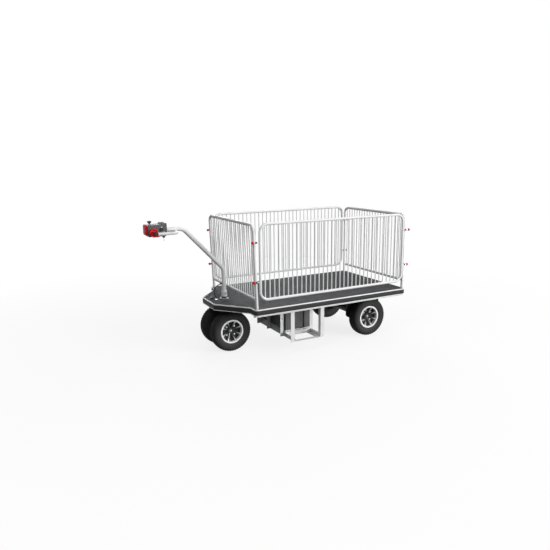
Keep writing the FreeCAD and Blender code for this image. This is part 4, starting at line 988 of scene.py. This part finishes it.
def make_axle_details():
    """Bolts and welds of the brackets, gearbox, motor and axle beam."""
    welds = bmesh.new()
    bolts = bmesh.new()
    low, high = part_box("axle_brackets")
    axle = Vector((JOINTS["rear_left_spin"]["pos_m"][0], 0, JOINTS["rear_left_spin"]["pos_m"][2]))
    for side in SIDES:
        outer = LEFTWARD * (side * high.y)
        for face in (outer, outer - LEFTWARD * (side * BRACKET_THICKNESS)):
            ring_bead(welds, axle + face, LEFTWARD, AXLE_BEAM_RADIUS, 2.0)
            edge = Vector((0, face.y, high.z - 0.8 * MM))
            ends = [edge + AHEAD * x for x in (low.x + 4 * MM, high.x - 4 * MM)]
            line_bead(welds, *ends, 2.2)
        for along in BRACKET_BOLTS:
            seat = Vector((axle.x + along * MM, outer.y, high.z - 24 * MM))
            hex_head(bolts, seat, LEFTWARD * side, 13, 6.5, shank=4.0, washer=8.5)
    piece("bracket_welds", welds, "chassis", "black_steel", smooth=60)

    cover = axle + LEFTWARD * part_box("drive_gearbox")[1].y
    for k in range(6):
        seat = cover + polar(COVER_CIRCLE, TAU * (k + 0.25) / 6)
        hex_head(bolts, seat, LEFTWARD, 8, 4.0, washer=6.5)
    low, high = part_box("drive_motor")
    hub = Vector(((low.x + high.x) / 2, low.y, (low.z + high.z) / 2))
    for angle in ring_angles(4):
        hex_head(bolts, hub + polar(MOTOR_CIRCLE, angle), -LEFTWARD, 7, 3.6, washer=5.5)
    for lift in TERMINALS:
        terminal = Vector((low.x + 2.5 * MM, high.y - 22 * MM, hub.z + lift * MM))
        hex_head(bolts, terminal, -AHEAD, 9, 4.5, shank=2.6, washer=7.0)
    piece("axle_bolts", bolts, "chassis", "bright_steel", smooth=25)

    fins = bmesh.new()
    for along in FIN_STARTS:
        ring = [(49.0, along), (51.6, along + 0.3), (51.6, along + 1.7), (49.0, along + 2.0)]
        lathe(fins, ring, hub, LEFTWARD, 72, closed=True)
    piece("motor_fins", fins, "chassis", "cast_alloy", smooth=40)
    rings = bmesh.new()
    outer_ring = [(46, 0.2), (58, 0.2), (59, 1.0), (59, 2.6), (58, 3.4), (46, 3.4)]
    lathe(rings, outer_ring, cover, LEFTWARD, 72, closed=True)
    inner_ring = [(31, 0.2), (36, 0.2), (37, 1.2), (37, 5.0), (36, 6.0), (31, 6.0)]
    lathe(rings, inner_ring, cover, LEFTWARD, 48, closed=True)
    piece("gearbox_cover_ring", rings, "chassis", "cast_alloy", smooth=40)


def make_steering_details():
    """Bolts and welds of the turntable, the yoke, the flanged disc on the deck and the collar."""
    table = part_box("steering_yoke")[0].z + TURNTABLE_LIFT
    axle_z = JOINTS["front_wheels_spin"]["pos_m"][2]
    bolts = bmesh.new()
    for angle in ring_angles(4):
        offset = mm(math.cos(angle) * TURNTABLE_CIRCLE, math.sin(angle) * TURNTABLE_CIRCLE, 0)
        hex_head(bolts, Vector((STEER.x, 0, table)) + offset, -UP, 7, 4.0)
    welds = bmesh.new()
    for side in SIDES:
        boss = Vector((STEER.x, side * FORK_FACE * MM, axle_z))
        ring_bead(welds, boss, LEFTWARD, FORK_BOSS_RADIUS, 1.8)
    piece("yoke_bolts", bolts, "steering", "bright_steel", smooth=25)
    piece("yoke_welds", welds, "steering", "black_steel", smooth=60)

    disc = bmesh.new()
    for angle in ring_angles(4):
        seat = steered(DISC_CIRCLE * math.cos(angle), DISC_CIRCLE * math.sin(angle), 3.5)
        hex_head(disc, seat, UP, 7, 3.4)
    piece("steering_disc_bolts", disc, "chassis", "bright_steel", smooth=25)

    collar = bmesh.new()
    socket_screw(collar, steered(0, 17.4, 40), LEFTWARD, 3.6, 3.6)
    piece("collar_screw", collar, "steering", "black_steel", smooth=40)
    ring = bmesh.new()
    ring_bead(ring, steered(0, 0, 63.2), UP, 17.0, 1.5)
    piece("collar_weld", ring, "steering", "white_paint", smooth=60)


def make_bay_details():
    """Ribs of the battery, the wire on its tray's edge, and the bay's welds."""
    low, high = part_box("battery_pack")
    ribs = bmesh.new()
    middle = (low.z + 44 * MM + high.z - 40 * MM) / 2
    for along, first, last, outward, face, size in (
        (AHEAD, low.x, high.x, LEFTWARD, high.y, (2.0, 1.6, BATTERY_RIB_HEIGHT)),
        (LEFTWARD, low.y, high.y, AHEAD, high.x, (1.6, 2.0, BATTERY_RIB_HEIGHT)),
    ):
        count = int((last - first) / BATTERY_RIB_PITCH)
        for k in range(1, count):
            spot = first + (last - first) * k / count
            in_groove = along == AHEAD and BATTERY_GROOVE[0] < spot - low.x < BATTERY_GROOVE[1]
            if not in_groove:
                block(ribs, along * spot + outward * face + UP * middle, size, chamfer=0.5)
    piece("battery_ribs", ribs, "chassis", "battery_case", smooth=40)

    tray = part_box("battery_tray")
    wire = bmesh.new()
    points = []
    for i in range(WIRE_STEPS + 1):
        share = i / WIRE_STEPS
        x = tray[1].x - 12 * MM - share * (tray[1].x - tray[0].x - 24 * MM)
        hump = sum(math.exp(-((share - spot) / 0.055) ** 2) for spot in WIRE_HUMPS)
        points.append(Vector((x, tray[1].y + 1.4 * MM, tray[1].z + (-9 + 14 * hump) * MM)))
    swept(wire, points, WIRE_RADIUS, 12)
    # The wire is black steel, and its dark colour is also painted shade: it stands for the shadow line along the
    # tray's edge.
    piece("tray_wire", wire, "chassis", "black_steel", smooth=60)

    floor_low, floor_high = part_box("bay_floor_frame")
    ends_low, ends_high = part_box("bay_end_frames")
    welds = bmesh.new()
    for x, way in ((ends_high.x, -1), (ends_low.x, 1)):
        inner = x + way * BAY_ANGLE
        for y in (floor_high.y - 0.5 * MM, floor_high.y - BAY_ANGLE, floor_low.y + BAY_ANGLE):
            foot = Vector((inner, y, floor_high.z))
            line_bead(welds, foot + mm(0, 0, 0.6), foot + mm(0, 0, 26), 1.6)
        for y in BAY_FOOT_WELDS:
            foot = Vector((inner + way * 0.8 * MM, y * MM, floor_high.z + 31.5 * MM))
            line_bead(welds, foot, foot - LEFTWARD * (24 * MM), 1.5)
    piece("bay_welds", welds, "chassis", "white_paint", smooth=60)


# Head, handlebar and lead details; rows marked True are fluted

KNOB_ROWS = (
    (0, 0), (6.6, 0), (6.6, 10.6), (11.5, 10.8), (13.4, 11.4), (14.0, 12.4, True),
    (14.0, 20.6, True), (13.4, 22.2, True), (12.0, 23.4), (9.5, 24.0), (8.8, 23.5), (0, 23.3),
)
BEZEL = ((0, 0), (11, 0), (11, 1.8), (10.5, 2.3), (9.6, 2.5), (8.8, 2.3), (8.3, 1.5), (0, 1.5))
GRIP_RADIUS = 11 * MM
TILLER_RADIUS = 16 * MM
LOOP_DROP = 15 * MM
LEAD_ROUTE = ((30, 115), (55, 106), (80, 83), (80, 48), (65, 16))
LEAD_RADIUS = 3.5
SOCKET_REACH = 62.5
NUT_ROWS = ((0, 0), (13.4, 0), (13.4, 1.8), (12.8, 2.4), (0, 2.4))
PLUG_ROWS = (
    (0, 0), (5.4, 0), (6.3, 1.0), (6.3, 3.4), (7, 4.0, True), (7, 10.6, True), (6.4, 11.2),
    (6.4, 12), (0, 12),
)
CAP_ROWS = (
    (0, 0), (11.6, 0), (12, 0.5, True), (12, 5.6, True), (11, 7.4), (9, 8.8), (6.2, 9),
    (5.6, 8.2), (0, 8.2),
)


def make_head_details():
    """Stop knob, gauge, screws, the handlebar's weld and the grip rings of the throttle hubs."""
    low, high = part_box("stop_knob")
    knob = bmesh.new()
    fluted(knob, KNOB_ROWS, ((low.x + high.x) / 2, 0, low.z), UP, 16, 0.9)
    knob = piece("stop_knob_fluted", knob, "steering", "black_plastic", smooth=40)
    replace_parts(knob, "stop_knob")

    low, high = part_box("battery_gauge")
    foot = Vector(((low.x + high.x) / 2, 0, low.z))
    bezel = bmesh.new()
    lathe(bezel, BEZEL, foot, UP, 64)
    bezel = piece("gauge_bezel", bezel, "steering", "black_plastic", smooth=40)
    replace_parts(bezel, "battery_gauge")
    marks = bmesh.new()
    for k in range(7):
        angle = math.radians(-60 + 20 * k)
        spot = foot + Vector((math.cos(angle), math.sin(angle), 0)) * (6.4 * MM) + UP * (1.6 * MM)
        block(marks, spot, (1.9, 0.8, 0.3), Matrix.Rotation(angle, 3, "Z"))
    needle_turn = Matrix.Rotation(math.radians(30), 3, "Z")
    block(marks, foot + mm(2.0, 1.2, 1.75), (7.5, 0.7, 0.3), needle_turn)
    piece("gauge_marks", marks, "steering", "trim_plastic", smooth=30)

    low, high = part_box("head_rear_cover")
    screws = bmesh.new()
    for side in SIDES:
        for z in (low.z + 13 * MM, high.z - 12 * MM):
            socket_screw(screws, (low.x, side * 32 * MM, z), -AHEAD, 3.2, 2.0)
    low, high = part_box("head_housing")
    for side in SIDES:
        for x in (low.x + 9 * MM, high.x - 9 * MM):
            for z in (low.z + 9 * MM, high.z - 20 * MM):
                socket_screw(screws, (x, side * high.y, z), LEFTWARD * side, 2.4, 1.2)
    piece("head_screws", screws, "steering", "black_steel", smooth=40)

    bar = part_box("handlebar")
    bar_x = bar[0].x + GRIP_RADIUS
    bar_z = (bar[0].z + bar[1].z) / 2
    weld = bmesh.new()
    points = []
    for i in range(60):
        angle = TAU * i / 60
        y = 15.4 * MM * math.sin(angle)
        z = bar_z + LOOP_DROP - math.sqrt(TILLER_RADIUS ** 2 - y ** 2)
        out = math.sqrt(max(GRIP_RADIUS ** 2 - (z - bar_z) ** 2, 0))
        points.append(Vector((bar_x + math.copysign(out, math.cos(angle)), y, z)))
    bead_along(weld, points, 1.5, closed=True)
    piece("handlebar_weld", weld, "steering", "silver_paint", smooth=60)

    hubs = bmesh.new()
    low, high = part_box("throttle_hubs")
    hub = Vector(((low.x + high.x) / 2, 0, (low.z + high.z) / 2))
    for side in SIDES:
        for along in range(66, 100, 5):
            ring = [(13.2, along), (14.1, along + 0.7), (14.1, along + 2.1), (13.2, along + 2.8)]
            lathe(hubs, ring, hub, LEFTWARD * side, 48, closed=True)
    piece("hub_grip_rings", hubs, "steering", "black_plastic", smooth=40)


def lead_line():
    """Points along the lead's centre line, from the boot on the tiller to the deck's socket."""
    curve = bpy.data.curves.new("lead_line", "CURVE")
    curve.dimensions = "3D"
    curve.resolution_u = 16
    spline = curve.splines.new("NURBS")
    spline.points.add(len(LEAD_ROUTE) - 1)
    for point, (reach, height) in zip(spline.points, LEAD_ROUTE):
        point.co = (*steered(reach, 0, height), 1)
    spline.order_u = 3
    spline.use_endpoint_u = True
    holder = bpy.data.objects.new("lead_line", curve)
    line = bpy.data.meshes.new_from_object(holder)
    points = [vertex.co.copy() for vertex in line.vertices]
    bpy.data.objects.remove(holder)
    return points


def make_lead():
    """Lead from the tiller to the deck, with its ribbed boot, its plug and the cap beside it."""
    points = lead_line()
    lead = bmesh.new()
    swept(lead, points, LEAD_RADIUS, 16)
    tube = piece("lead_tube", lead, None, "lead_rubber", smooth=60)
    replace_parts(tube, "tiller_lead")
    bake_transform(tube)

    boot = bmesh.new()
    rows = [(0, -11.5), (8.5, -11.5), (8.5, -10.5)]
    for k in range(4):
        along = -10.0 + 2.4 * k
        size = 8.2 - 0.55 * k
        for radius, step in ((size - 1.1, 0), (size, 0.6), (size, 1.3), (size - 1.1, 1.9)):
            rows.append((radius, along + step))
    rows += [(5.6, -0.4), (4.6, 0), (0, 0)]
    lathe(boot, rows, points[0], points[1] - points[0], 32)
    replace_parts(piece("lead_boot_ribbed", boot, "steering", "lead_rubber", smooth=50), "lead_boot")

    base = steered(SOCKET_REACH, 0, 0)
    nut = bmesh.new()
    fluted(nut, NUT_ROWS, base, UP, 1, 0.0, 64)
    hex_head(nut, base + mm(0, 0, 2.3), UP, 20, 3.7)
    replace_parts(piece("lead_socket_nut", nut, "chassis", "bright_steel", smooth=25), "lead_socket")
    plug = bmesh.new()
    fluted(plug, PLUG_ROWS, points[-1], points[-1] - points[-2], 14, 0.6)
    piece("lead_plug", plug, "chassis", "black_plastic", smooth=40)

    low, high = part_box("socket_cap")
    centre = Vector((low.x + 12 * MM, (low.y + high.y) / 2, low.z))
    cap = bmesh.new()
    fluted(cap, CAP_ROWS, centre, UP, 20, 0.7)
    block(cap, centre + mm(16.2, 0, 1.5), (11.6, 11.6, 3), chamfer=0.8)
    cap = piece("socket_cap_fluted", cap, "chassis", "black_plastic", smooth=40)
    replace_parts(cap, "socket_cap")


def make_latch_details():
    """Lock nuts on the plungers' barrels and washers at the panels' pivots."""
    low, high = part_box("latch_barrels")
    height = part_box("latch_pins")
    hinge = height[0].z + 4 * MM
    latch = height[1].z - 4 * MM
    washer = [(4.1, 0), (6.2, 0), (6.6, 0.5), (6.6, 1.8), (6.2, 2.3), (4.1, 2.3)]
    nuts = bmesh.new()
    for side in SIDES:
        y = side * (high.y - 6.5 * MM)
        hex_head(nuts, (high.x - 0.1 * MM, y, latch), AHEAD, 12, 3.6)
        for z in (hinge, latch):
            hex_head(nuts, (low.x + 0.1 * MM, y, z), -AHEAD, 12, 4.5)
            for x, way in ((high.x - 15 * MM, -1), (low.x + 15 * MM, 1)):
                lathe(nuts, washer, (x, y, z), AHEAD * way, 24, closed=True)
    piece("latch_nuts", nuts, "chassis", "bright_steel", smooth=25)


make_camera()
make_lead()
make_studio()
make_floor()
dress_frame()
make_deck_edge()
make_mat()
make_panel_welds()
make_frame_welds()
make_wheel_details()
make_axle_details()
make_steering_details()
make_bay_details()
make_head_details()
make_latch_details()
